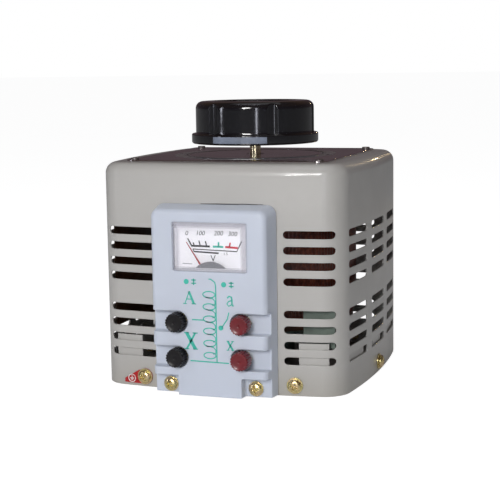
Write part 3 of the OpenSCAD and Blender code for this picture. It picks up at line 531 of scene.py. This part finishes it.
def plan_at(angle):
    """The plan's point and outward normal, where the normal makes an angle with -Y."""
    centre, start, end = corner_layout()
    normal = Vector((math.sin(angle), -math.cos(angle)))
    first = math.atan2(abs(normal.x), abs(normal.y))
    spoke = Vector((math.sin(first), -math.cos(first)))
    if first <= start:
        point = Vector((0, SIDE_R - HALF_D)) + spoke * SIDE_R
    elif first <= end:
        point = centre + spoke * CORNER_R
    else:
        point = Vector((HALF_W - SIDE_R, 0)) + spoke * SIDE_R
    return Vector((math.copysign(point.x, normal.x), math.copysign(point.y, normal.y))), normal


def angle_at(side, across):
    """The normal's angle at a distance across a side, its corners included."""
    centre, start, end = corner_layout()
    middle, most = (centre.x, start) if side % 2 == 0 else (-centre.y, math.pi / 2 - end)
    if abs(across) <= SIDE_R * math.sin(most):
        local = math.asin(abs(across) / SIDE_R)
    else:
        local = math.asin((abs(across) - middle) / CORNER_R)
    return side * math.pi / 2 + math.copysign(local, across)


def side_line(side, across):
    """The plan's point and outward normal on a side, at a distance across it."""
    return plan_at(angle_at(side, across))


def slot_half_height(across, column):
    """Half a slot's height where an upright line crosses it: less at its round ends."""
    centre, length = column
    past = abs(across - centre) - (length / 2 - SLOT_R)
    if past <= 0:
        return SLOT_R
    return math.sqrt(max(0, SLOT_R ** 2 - past ** 2))


def across_positions(limit, columns, extra):
    """Where the upright lines stand on a side: close together round the ends of its slots."""
    spots = {}
    for index, (centre, length) in enumerate(columns):
        ends = [length / 2 - SLOT_R * (1 - math.sin(math.radians(t))) for t in (0, 25, 50, 70, 90)]
        inner = [length / 2 * k for k in (0, 0.28, 0.56)]
        for d in inner + ends:
            for sign in (-1, 1):
                spots[round(centre + sign * d, 6)] = index
    for a in [limit * i / 14 for i in range(-14, 15)] + extra:
        if all(abs(a - c) > length / 2 + 0.8 * MM for c, length in columns):
            spots[round(a, 6)] = None
    return sorted(spots.items())


def shell_lines():
    """Every upright line round the shell: plan point, normal, its slot column and its heights."""
    _, start, end = corner_layout()
    marks = []
    for side in range(4):
        limit = SIDE_R * math.sin(start if side % 2 == 0 else math.pi / 2 - end)
        columns = FRONT_COLUMNS if side == 0 else OTHER_COLUMNS
        extra = [-OPENING_HALF, OPENING_HALF, -OPENING_HALF * 1.2, OPENING_HALF * 1.2] if side == 0 else []
        for across, index in across_positions(limit, columns, extra):
            half = slot_half_height(across, columns[index]) if index is not None else SLOT_R
            heights = [z + s * half for z in SLOT_ROWS for s in (-1, 1)]
            key = (side, index) if index is not None else None
            if side == 0 and abs(across) <= OPENING_HALF + 1e-6:
                heights = opening_heights()
                key = "opening"
            marks.append((angle_at(side, across), key, heights))
    marks.sort(key=lambda mark: mark[0])
    plain_heights = [z + s * SLOT_R for z in SLOT_ROWS for s in (-1, 1)]
    filled = []
    for mark, after in zip(marks, marks[1:] + [(marks[0][0] + 2 * math.pi, *marks[0][1:])]):
        filled.append(mark)
        steps = int((after[0] - mark[0]) / CORNER_STEP)
        in_slot = mark[1] is not None and mark[1] == after[1]
        for i in range(1, steps + 1):
            angle = mark[0] + (after[0] - mark[0]) * i / (steps + 1)
            filled.append((angle, mark[1], mark[2]) if in_slot else (angle, None, plain_heights))
    return [(*plan_at(angle), key, heights) for angle, key, heights in filled]


def opening_heights():
    low_gap = [LOW_OPENING[1] + (0.4 + 0.4 * i) * MM for i in range(6)]
    high_gap = [HIGH_OPENING[1] + (0.4 + 0.4 * i) * MM for i in range(6)]
    return [*LOW_OPENING, *low_gap, *HIGH_OPENING, *high_gap]


def make_shell():
    """One sheet, its slots left out of the grid, then given its thickness and rounded edges."""
    lines = shell_lines()
    edge = [(EDGE_R - x, SHELL_H - EDGE_R + z) for x, z in arc((0, 0), EDGE_R, 0, 90, 9)]
    points = []
    for point, normal, _, heights in lines:
        column = [(*point, z) for z in [0, 4 * MM, *heights]]
        column += [(*(point - normal * inset), z) for inset, z in edge]
        rim = point - normal * EDGE_R
        hole = rim.normalized() * SHAFT_HOLE_R
        column += [(*rim.lerp(hole, t), SHELL_H) for t in (0.15, 0.5, 1.0)]
        points += column
    per_line = len(points) // len(lines)
    faces = []
    for i, line in enumerate(lines):
        i2 = (i + 1) % len(lines)
        same = line[2] is not None and line[2] == lines[i2][2]
        for j in range(per_line - 1):
            row = j - 2
            is_gap = same and row in (OPENING_ROWS if line[2] == "opening" else GAP_ROWS)
            if not is_gap:
                here, there = i * per_line + j, i2 * per_line + j
                faces.append([here, there, there + 1, here + 1])
    shell = add_mesh("shell_sheet", points, faces, "shell_paint", "housing", ["shell"])
    solid = shell.modifiers.new("sheet", "SOLIDIFY")
    solid.thickness = SHEET
    solid.offset = -1
    soften(shell, 0.3 * MM, 2)
    shell.modifiers["edges"].angle_limit = math.radians(50)


# ---- knob ----------------------------------------------------------------------------

KNOB_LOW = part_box("knob")[0].z
LOBES = 6
KNOB_PHASE = math.radians(-85)
GROOVE_R = 6 * MM
GROOVE_OUT = 47.4 * MM                 # from the shaft's axis to a groove's axis


def groove_reach(angle):
    """How far out the grip goes at an angle, where a groove cuts it."""
    pitch = 2 * math.pi / LOBES
    off = (angle - KNOB_PHASE) % pitch - pitch / 2
    inside = GROOVE_R ** 2 - (GROOVE_OUT * math.sin(off)) ** 2
    if inside <= 0:
        return 1.0
    return GROOVE_OUT * math.cos(off) - math.sqrt(inside)


def soft_min(a, b, blend):
    """The smaller of two values, rounded over where they are close."""
    h = max(0, blend - abs(a - b)) / blend
    return min(a, b) - h * h * blend / 4


def make_knob():
    """Skirt, lobed grip and hollow underside in one turned section."""
    grip = 43.1
    top = 30.4
    skirt = [(39.1, 0.2), (39.4, 0), (44.6, 0)] + arc((44.7, 1.5), 1.5, -90, 0, 4)
    skirt += arc((45.2, 6.2), 1.0, 0, 80, 4)
    outer = [(43.5, 7.3), (43.15, 7.7), (grip, 9), (grip, 12), (grip, 18), (grip, 24)]
    outer += arc((grip - 5, top - 5), 5, 0, 90, 10) + [(36, top), (31, top)]
    recess = arc((30.6, top - 0.4), 0.4, 90, 180, 2)
    recess += [(30.0, top - 0.8), (20, top - 0.8), (0.01, top - 0.8)]
    under = [(0.01, 21), (7.5, 21), (7.5, 1.2), (7.8, 1), (10.8, 1), (11, 1.2), (11, 26.4),
             (25, 26.4), (39.1, 26.4)]
    profile = [(r, z, 0) for r, z in skirt] + [(r, z, 1) for r, z in outer]
    profile += [(r, z, 0) for r, z in recess + under]
    steps = 540
    points = []
    for i in range(steps):
        a = 2 * math.pi * i / steps
        for r, z, lobed in profile:
            r = r * MM
            if lobed:
                r = soft_min(r, groove_reach(a), 0.3 * MM)
            points.append((r * math.cos(a), r * math.sin(a), KNOB_LOW + z * MM))
    faces = grid_faces(steps, len(profile), wrap_rows=True, wrap_columns=True)
    knob = add_mesh("knob_moulding", points, faces, "black_moulding", "rotor", ["knob"])
    normals = knob.modifiers.new("normals", "WEIGHTED_NORMAL")
    normals.keep_sharp = True


# ---- terminal panel ------------------------------------------------------------------

PANEL_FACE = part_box("terminal_panel")[0].y
PANEL_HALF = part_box("terminal_panel")[1].x
PANEL_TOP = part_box("terminal_panel")[1].z
PANEL_T = 16 * MM
PANEL_EDGE_R = 3.2 * MM
PANEL_CORNER_R = 6 * MM


def panel_depth_in(x, z):
    """How far a point of the panel's face lies inside its outline."""
    dx = abs(x) - (PANEL_HALF - PANEL_CORNER_R)
    dz = z - (PANEL_TOP - PANEL_CORNER_R)
    if dx > 0 and dz > 0:
        return PANEL_CORNER_R - math.hypot(dx, dz)
    return PANEL_CORNER_R - max(dx, dz)


def make_panel():
    """The moulding: the CAD panel with a soft outer edge, a draft on its sides and rounded recesses."""
    mesh = nodes["terminal_panel"].data.copy()
    obj = bpy.data.objects.new("panel_moulding", mesh)
    bpy.context.collection.objects.link(obj)
    obj.data.materials.clear()
    remesh = obj.modifiers.new("remesh", "REMESH")
    remesh.mode = "VOXEL"
    remesh.voxel_size = 0.5 * MM
    apply_modifiers(obj)
    for v in obj.data.vertices:
        v.co = panel_point(v.co)
    smooth = obj.modifiers.new("smooth", "SMOOTH")
    smooth.factor = 0.5
    smooth.iterations = 5
    reduce = obj.modifiers.new("reduce", "DECIMATE")
    reduce.ratio = 0.3
    apply_modifiers(obj)
    for face in obj.data.polygons:
        face.use_smooth = True
    obj.data.materials.append(MATERIALS["panel_white"])
    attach(obj, "housing")
    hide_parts("terminal_panel")


def apply_modifiers(obj):
    """Replaces the mesh with what its modifiers make of it."""
    graph = bpy.context.evaluated_depsgraph_get()
    mesh = bpy.data.meshes.new_from_object(obj.evaluated_get(graph))
    obj.modifiers.clear()
    obj.data = mesh


def panel_point(co):
    """Moves a point of the CAD panel: its rim is rounded, its sides taper and its top slopes."""
    depth = panel_depth_in(co.x, co.z)
    back = co.y - PANEL_FACE
    y = co.y
    x = co.x
    z = co.z
    if depth < PANEL_EDGE_R and back < PANEL_EDGE_R:
        a = PANEL_EDGE_R - max(depth, 0)
        b = PANEL_EDGE_R - back
        far = math.hypot(a, b)
        if far > PANEL_EDGE_R:
            y = PANEL_FACE + PANEL_EDGE_R - b * PANEL_EDGE_R / far
            pull = a - a * PANEL_EDGE_R / far
            x, z = pull_in(x, z, pull)
    t = min(1, max(0, back / PANEL_T))
    x *= 0.958 + 0.064 * t
    high_up = min(1, max(0, (z - 117 * MM) / (11 * MM)))
    z += high_up * (-1.0 + 2.6 * t) * MM
    return Vector((x, y, z))


def pull_in(x, z, pull):
    """Moves a point of the outline inwards."""
    dx = abs(x) - (PANEL_HALF - PANEL_CORNER_R)
    dz = z - (PANEL_TOP - PANEL_CORNER_R)
    if dx > 0 and dz > 0:
        length = math.hypot(dx, dz)
        return x - math.copysign(pull * dx / length, x), z - pull * dz / length
    if dx > dz:
        return x - math.copysign(pull, x), z
    return x, z - pull


# ---- printed marks -------------------------------------------------------------------

INK = 0.06 * MM


def to_panel(y):
    """Drawing coordinates (mm across, mm up) onto an upright plane."""
    return lambda p, lift: Vector((p[0] * MM, y - lift, p[1] * MM))


def to_plate(z):
    """Drawing coordinates (mm along X, mm along Y) onto a level plane."""
    return lambda p, lift: Vector((p[0] * MM, p[1] * MM, z + lift))


def stroke(points, width, place):
    """Points and faces of one printed line: a thin bar of the given width, or a width for each point."""
    widths = width if isinstance(width, (list, tuple)) else [width] * len(points)
    verts = []
    for i, p in enumerate(points):
        before = points[max(i - 1, 0)]
        after = points[min(i + 1, len(points) - 1)]
        along = Vector((after[0] - before[0], after[1] - before[1])).normalized()
        side = Vector((-along.y, along.x)) * widths[i] / 2
        for s, lift in ((-1, 0), (1, 0), (1, INK), (-1, INK)):
            verts.append(place((p[0] + s * side.x, p[1] + s * side.y), lift))
    faces = grid_faces(len(points), 4, wrap_columns=True)
    last = 4 * (len(points) - 1)
    return verts, faces + [[3, 2, 1, 0], [last, last + 1, last + 2, last + 3]]


def lettering(text, size, at, place, turn=0.0, slant=0.0):
    """Points and faces of a short number, as thin raised print."""
    data = bpy.data.curves.new("print", "FONT")
    data.body = text
    data.size = size * MM
    data.extrude = INK / 2
    data.align_x = "CENTER"
    data.align_y = "CENTER"
    data.shear = slant
    data.resolution_u = 3
    obj = bpy.data.objects.new("print", data)
    bpy.context.collection.objects.link(obj)
    graph = bpy.context.evaluated_depsgraph_get()
    mesh = bpy.data.meshes.new_from_object(obj.evaluated_get(graph))
    bpy.data.objects.remove(obj)
    ca, sa = math.cos(turn), math.sin(turn)
    verts = []
    for v in mesh.vertices:
        x, y = v.co.x / MM, v.co.y / MM
        verts.append(place((at[0] + x * ca - y * sa, at[1] + x * sa + y * ca), v.co.z + INK / 2))
    return verts, [list(f.vertices) for f in mesh.polygons]


def add_print(name, marks, material, body="housing"):
    """Joins printed marks into one piece."""
    points = []
    faces = []
    for verts, quads in marks:
        first = len(points)
        points += verts
        faces += [[first + k for k in q] for q in quads]
    obj = add_mesh(name, points, faces, material, body)
    for face in obj.data.polygons:
        face.use_smooth = False
    return obj


def disc(centre, radius, place):
    """Points and faces of a printed dot."""
    steps = 20
    ring = arc(centre, radius, 0, 360, steps)[:-1]
    verts = [place(p, 0) for p in ring] + [place(p, INK) for p in ring]
    faces = [list(range(steps))[::-1], [steps + k for k in range(steps)]]
    faces += [[k, (k + 1) % steps, steps + (k + 1) % steps, steps + k] for k in range(steps)]
    return verts, faces


def make_panel_print():
    """The green circuit symbol: a tapped coil, its leads, and the terminal letters."""
    place = to_panel(PANEL_FACE - 0.02 * MM)
    line = 0.8
    marks = [stroke([(4.9, 79.0), (2.0, 81.0), (0.6, 81.0)], line, place),
             stroke([(4.9, 79.0), (5.5, 76.5), (5.6, 24.4)], line, place)]
    for i in range(6):
        z = 70.6 - 8.3 * i
        ring = [(0.6 + 4.3 * math.cos(math.radians(a)), z + 2.1 * math.sin(math.radians(a)) - 0.02 * a / 36)
                for a in range(10, 371, 20)]
        marks.append(stroke(ring, 0.75, place))
        if i < 5:
            link = [(-1.8, z - 2.0), (3.0, z - 2.6), (4.9, z - 4.4), (4.8, z - 6.6), (3.0, z - 7.4)]
            marks.append(stroke(link, 0.7, place))
    marks.append(stroke([(-13.5, 24.8), (14.0, 24.3)], line, place))
    marks.append(stroke([(-11.8, 53.0), (-3.7, 53.0)], line, place))
    marks.append(stroke([(14.6, 59.0), (13.3, 54.2), (9.6, 48.8)], line, place))
    marks.append(disc((8.7, 48.2), 1.7, place))
    for x, z in ((-15.4, 78.8), (11.2, 77.6)):
        marks.append(disc((x, z), 1.8, place))
        marks.append(stroke([(x + 3.6, z + 1.2), (x + 7.0, z + 1.2)], 0.8, place))
        marks.append(stroke([(x + 3.6, z - 1.0), (x + 7.0, z - 1.0)], 0.8, place))
        marks.append(stroke([(x + 5.3, z + 2.2), (x + 5.3, z - 2.2)], 0.8, place))
    marks += serif_a((-13.4, 68.0), 8.4, place)
    marks += serif_x((-12.8, 38.4), 11.0, place)
    marks += small_a((15.6, 66.6), 7.4, place)
    marks += serif_x((15.2, 36.4), 6.2, place)
    add_print("panel_print", marks, "ink_green")


def serif(x, z, size, place):
    return stroke([(x - size * 0.16, z), (x + size * 0.16, z)], size * 0.07, place)


def serif_a(at, size, place):
    x, z = at
    h = size / 2
    w = size * 0.38
    return [stroke([(x - w, z - h), (x, z + h)], size * 0.08, place),
            stroke([(x - size * 0.03, z + h), (x + w, z - h)], size * 0.19, place),
            stroke([(x - w * 0.62, z - h * 0.25), (x + w * 0.55, z - h * 0.25)], size * 0.08, place),
            serif(x - w, z - h, size, place), serif(x + w, z - h, size * 1.2, place)]


def serif_x(at, size, place):
    x, z = at
    h = size / 2
    w = size * 0.28
    marks = [stroke([(x - w, z + h), (x + w, z - h)], size * 0.22, place),
             stroke([(x + w, z + h), (x - w, z - h)], size * 0.12, place)]
    return marks + [serif(x + sx * w, z + sz * h, size, place) for sx in (-1, 1) for sz in (-1, 1)]


def small_a(at, size, place):
    x, z = at
    k = size / 2
    bowl = [(x + 0.28 * k, z + 0.15 * k), (x - 0.3 * k, z - 0.05 * k), (x - 0.62 * k, z - 0.5 * k),
            (x - 0.3 * k, z - 0.92 * k), (x + 0.28 * k, z - 0.6 * k)]
    stem = [(x - 0.55 * k, z + 0.55 * k), (x - 0.2 * k, z + 0.9 * k), (x + 0.25 * k, z + 0.75 * k),
            (x + 0.34 * k, z + 0.3 * k), (x + 0.34 * k, z - 0.6 * k), (x + 0.62 * k, z - 0.9 * k)]
    return [stroke(bowl, size * 0.11, place), stroke(stem, size * 0.14, place)]


# ---- meter ---------------------------------------------------------------------------

DIAL_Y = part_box("meter_dial")[0].y


def make_meter_print():
    """The voltmeter's scale: figures, ticks, two coloured zones and a V."""
    place = to_panel(DIAL_Y - 0.02 * MM)
    black = []
    left_end, right_end = (-17.5, 106.8), (21.0, 105.6)
    base_z = 101.6
    black.append(stroke([left_end, (-14.6, base_z + 0.2), (-1.5, base_z)], [0.8, 1.3, 1.3], place))
    for x, top in ((-12.6, 104.0), (-8.4, 105.4), (-3.8, 105.2)):
        black.append(stroke([(x, base_z), (x - 0.9, top)], 0.8, place))
    black.append(stroke([(-13.8, 99.6), (17.6, 98.7), right_end], [0.6, 0.7, 0.9], place))
    black.append(stroke([(-13.8, 99.6), (-13.0, 97.9), (4.6, 97.2)], [0.7, 0.9, 1.1], place))
    figures = (("0", -18.2, 110.2), ("100", -8.4, 110.4), ("200", 4.6, 110.6), ("300", 14.6, 110.4))
    for text, x, z in figures:
        black.append(lettering(text, 4.4, (x, z), place, slant=0.2))
    black.append(lettering("V", 6.2, (0.6, 93.4), place))
    wave = [(-1.2 + 0.28 * i, 90.1 + 0.45 * math.sin(i * 0.8)) for i in range(9)]
    black.append(stroke(wave, 0.4, place))
    black.append(lettering("1.5", 2.6, (9.6, 96.9), place))
    black.append(stroke([(-21.5, 89.6), (-14.5, 89.4)], 0.35, place))
    add_print("meter_black_print", black, "ink_black")
    green = [stroke([(0.6, base_z), (8.0, base_z)], 1.4, place),
             stroke([(4.6, base_z), (4.7, 104.8)], 1.2, place)]
    add_print("meter_green_print", green, "ink_green")
    red = [stroke([(9.4, base_z), (18.3, base_z - 0.5)], 1.4, place),
           stroke([(12.4, base_z), (13.0, 104.6)], 1.1, place)]
    add_print("meter_red_print", red, "ink_red")


def make_window_cover():
    """The clear cover: a see-through front, and sloping sides painted a translucent purple-grey for the
    reflections in their thickness.
    """
    obj = bpy.data.objects.new("window_cover", nodes["meter_window"].data.copy())
    bpy.context.collection.objects.link(obj)
    obj.data.materials.clear()
    obj.data.materials.append(MATERIALS["clear_window"])
    obj.data.materials.append(MATERIALS["clear_rim_painted_reflection"])
    for face in obj.data.polygons:
        face.material_index = 0 if abs(face.normal.y) > 0.98 else 1
    weld(obj)
    soften(obj, 0.5 * MM, 2)
    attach(obj, "housing")
    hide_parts("meter_window")


def make_gasket():
    """A dark strip behind the panel's top: painted shadow, for the shaded gap between the panel and the
    case.
    """
    low_z, high_z = PANEL_TOP + 1.3 * MM, PANEL_TOP + 2.3 * MM
    points, rows = [], 12
    for i in range(rows + 1):
        x = (-10 + 44 * i / rows) * MM
        wall = -HALF_D + x * x / (2 * SIDE_R)
        thin = 0.5 * MM * min(1, 4 * i / rows, 4 * (rows - i) / rows)
        for y, z in ((wall + 0.2 * MM, low_z), (wall - 0.3 * MM, low_z),
                     (wall - 0.3 * MM, low_z + thin + 0.2 * MM), (wall + 0.2 * MM, high_z - 0.3 * MM)):
            points.append((x, y, z))
    faces = grid_faces(rows + 1, 4, wrap_columns=True)
    faces += [(3, 2, 1, 0), tuple(4 * rows + k for k in range(4))]
    add_mesh("panel_shadow_strip", points, faces, "painted_gap_shadow", "housing")


# ---- terminals -----------------------------------------------------------------------

def make_cap(node, body, material):
    """A knurled cap: scalloped sides, a rounded lip and a slightly dished front."""
    low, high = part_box(node)
    cx = (low.x + high.x) / 2
    cz = (low.z + high.z) / 2
    front, back = low.y, high.y
    length = (back - front) / MM
    teeth = 20
    # Radius, height, and how much of the knurl shows there.
    profile = [(3.05, length - 1.9, 0), (3.05, 0.3, 0), (3.4, 0, 0), (5.6, 0, 0.3), (6.3, 0.5, 1),
               (6.5, 1.2, 1), (6.5, 4.5, 1), (6.45, 8.0, 1), (6.3, 9.0, 1), (6.1, length - 0.35, 0.8),
               (5.75, length, 0.8), (5.3, length, 0.1), (4.9, length - 0.25, 0),
               (3.4, length - 0.55, 0), (1.6, length - 0.7, 0), (0.01, length - 0.75, 0),
               (0.01, length - 1.9, 0)]
    steps = teeth * 10
    points = []
    for i in range(steps):
        a = 2 * math.pi * i / steps
        scallop = 0.7 * abs(math.cos(a * teeth / 2)) - 0.62
        for r, h, knurled in profile:
            reach = (r + knurled * scallop) * MM
            points.append((cx + reach * math.cos(a), back - h * MM, cz + reach * math.sin(a)))
    faces = grid_faces(steps, len(profile), wrap_rows=True, wrap_columns=True)
    add_mesh(node + "_moulding", points, faces, material, body, [node])


# ---- screws --------------------------------------------------------------------------

def cross_depth(x, z):
    """How deep the cross recess is at a point of the head, in millimetres."""
    def within(value, half):
        return min(1, max(0, (half - abs(value)) / 0.3 + 0.5))
    blades = max(within(x, 2.5) * within(z, 0.5), within(z, 2.5) * within(x, 0.5))
    return 1.5 * blades * (1 - 0.14 * math.hypot(x, z))


def screw_mesh():
    """A pan head with a cross recess, its seat at the origin and its shank along +Y."""
    top = [(4.55 * math.sin(math.radians(t)), 0.9 + 2.0 * math.cos(math.radians(t)))
           for t in range(3, 91, 3)]
    profile = top + [(4.55, 0.3), (4.3, 0), (2.4, 0), (2.4, -7), (2.0, -7.5), (0.02, -7.5)]
    steps = 72
    points = [(0, -(2.9 - cross_depth(0, 0)) * MM, 0)]
    for i in range(steps):
        a = 2 * math.pi * i / steps
        for r, h in profile:
            x, z = r * math.cos(a), r * math.sin(a)
            if h > 0.9:
                h -= cross_depth(x, z)
            points.append((x * MM, -h * MM, z * MM))
    n = len(profile)
    faces = grid_faces(steps, n, wrap_rows=True, first=1)
    faces += [[0, 1 + i * n, 1 + (i + 1) % steps * n] for i in range(steps)]
    faces.append([i * n + n for i in range(steps)])
    return points, faces


def make_screws():
    """Every pan-head screw on the case and the panel."""
    blank = screw_mesh()
    lift = 1.15 * MM
    places = ((0, 1, 20), (1, 0, 50), (2, -1, 75), (2, 1, 10), (3, 0, 35))
    seats = [("shell_screw", side, along * SCREW_ACROSS, lift, turn) for side, along, turn in places]
    seats.append(("earth_screw", 0, -SCREW_ACROSS, lift + 0.65 * MM, 62))
    made = {}
    for name, side, across, out, turn in seats:
        point, normal = side_line(side, across)
        at = Vector((*(point + normal * out), SCREW_Z))
        facing = math.atan2(normal.x, -normal.y)
        made.setdefault(name, []).append(place_screw(blank, at, facing, turn))
    channel_y = PANEL_FACE + 7.5 * MM
    for x, turn in ((-30.6, 28), (30.6, 80)):
        made.setdefault("panel_screw", []).append(
            place_screw(blank, Vector((x * MM, channel_y - lift, 6.4 * MM)), 0, turn))
    for name, parts in made.items():
        cad = name if name == "earth_screw" else name + "s"
        points = [p for verts, _ in parts for p in verts]
        faces = []
        first = 0
        for verts, polygons in parts:
            faces += [[first + k for k in f] for f in polygons]
            first += len(verts)
        obj = add_mesh(name + "_heads", points, faces, "yellow_zinc", "housing", [cad])
        obj.data.set_sharp_from_angle(angle=math.radians(40))


def place_screw(mesh, at, facing, turn):
    """The screw's points, with its cross turned and its head facing outwards at its seat."""
    turned = Matrix.Rotation(facing, 4, "Z") @ Matrix.Rotation(math.radians(turn), 4, "Y")
    move = Matrix.Translation(at) @ turned
    points, faces = mesh
    return [move @ Vector(p) for p in points], faces


# ---- winding -------------------------------------------------------------------------

def make_winding():
    """The coil: one layer of round wire over the core, each turn standing proud of its neighbours."""
    low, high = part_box("winding")
    outer = high.x
    inner = 33.6 * MM
    wire = 2.2 * MM
    middle = Vector(((outer + inner) / 2, (low.z + high.z) / 2))
    half = Vector(((outer - inner) / 2, (high.z - low.z) / 2))
    turns = 150
    per_turn = 4
    start = math.radians(-72)
    sweep = math.radians(324)
    round_r = 5 * MM

    def loop(size, radius):
        points = []
        for sx, sz, first in ((1, 1, 0), (-1, 1, 90), (-1, -1, 180), (1, -1, 270)):
            centre = (middle.x + sx * (size.x - radius), middle.y + sz * (size.y - radius))
            points += arc(centre, radius, first, first + 90, 3)
        return points

    core = loop(half - Vector((wire, wire)), 0.3 * MM)
    points = []
    steps = turns * per_turn
    for i in range(steps + 1):
        a = start + sweep * i / steps
        swell = -0.55 * MM * (1 - abs(math.sin(math.pi * i / per_turn + 0.01)))
        skin = loop(half + Vector((swell, swell)), round_r)
        for r, z in skin + core:
            points.append((r * math.cos(a), r * math.sin(a), z))
    n = len(core)
    faces = []
    for i in range(steps):
        for j in range(n):
            j2 = (j + 1) % n
            for first in (0, n):
                faces.append([i * 2 * n + first + j, i * 2 * n + first + j2,
                              (i + 1) * 2 * n + first + j2, (i + 1) * 2 * n + first + j])
    for base in (0, steps * 2 * n):
        faces += [[base + j, base + (j + 1) % n, base + n + (j + 1) % n, base + n + j] for j in range(n)]
    add_mesh("wound_wire", points, faces, "enamelled_copper", "housing", ["winding"])


# ---- dial plate and earth mark -------------------------------------------------------

SCALE_START = math.radians(-112.5)
SCALE_SWEEP = math.radians(-315)


def make_dial_scale():
    """A ring scale round the knob: ticks every ten volts, and numbers every fifty."""
    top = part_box("dial_plate")[1].z + 0.02 * MM
    place = to_plate(top)
    band = [stroke(arc((0, 0), 53.5, 0, 360, 120), 11.0, place)]
    add_print("dial_band", band, "scale_band")
    place = to_plate(top + INK)
    marks = []
    ends = (math.degrees(SCALE_START), math.degrees(SCALE_START + SCALE_SWEEP))
    marks.append(stroke(arc((0, 0), 49.6, *ends, 90), 0.5, place))
    for volts in range(0, 251, 5):
        a = SCALE_START + SCALE_SWEEP * volts / 250
        length = 4.0 if volts % 50 == 0 else (2.8 if volts % 10 == 0 else 1.6)
        ends_of_mark = [(r * math.cos(a), r * math.sin(a)) for r in (49.6, 49.6 + length)]
        marks.append(stroke(ends_of_mark, 0.45, place))
        if volts % 50 == 0:
            at = (56.4 * math.cos(a), 56.4 * math.sin(a))
            marks.append(lettering(str(volts), 3.6, at, place, turn=a + math.pi / 2))
    add_print("dial_scale", marks, "ink_black")


def make_earth_mark():
    """A white ring with the earth symbol, on the red tag."""
    point, normal = side_line(0, -SCREW_ACROSS)
    along = Vector((-normal.y, normal.x))
    face = point + normal * (0.72 * MM)

    def place(p, lift):
        spot = face + along * p[0] * MM + normal * lift
        return Vector((spot.x, spot.y, SCREW_Z + p[1] * MM))

    centre = (-10.6, -2.0)
    marks = [stroke(arc(centre, 2.7, 0, 360, 24), 0.5, place),
             stroke([(centre[0], centre[1] + 1.9), (centre[0], centre[1])], 0.45, place)]
    for i, half in enumerate((1.5, 1.0, 0.5)):
        z = centre[1] - 0.7 * i
        marks.append(stroke([(centre[0] - half, z), (centre[0] + half, z)], 0.4, place))
    add_print("earth_symbol", marks, "ink_white")


# ---- everything ----------------------------------------------------------------------

bpy.context.scene.view_settings.view_transform = "Standard"
make_materials()
make_camera()
make_world()
make_stage()
finish_cad_nodes()
make_shell()
make_knob()
make_panel()
make_panel_print()
make_meter_print()
make_window_cover()
make_gasket()
for terminal in ("input_live", "input_neutral", "output_live", "output_neutral"):
    colour = "cap_black" if "input" in terminal else "red_moulding"
    make_cap(terminal + "_cap", terminal + "_knob", colour)
make_screws()
make_winding()
make_dial_scale()
make_earth_mark()
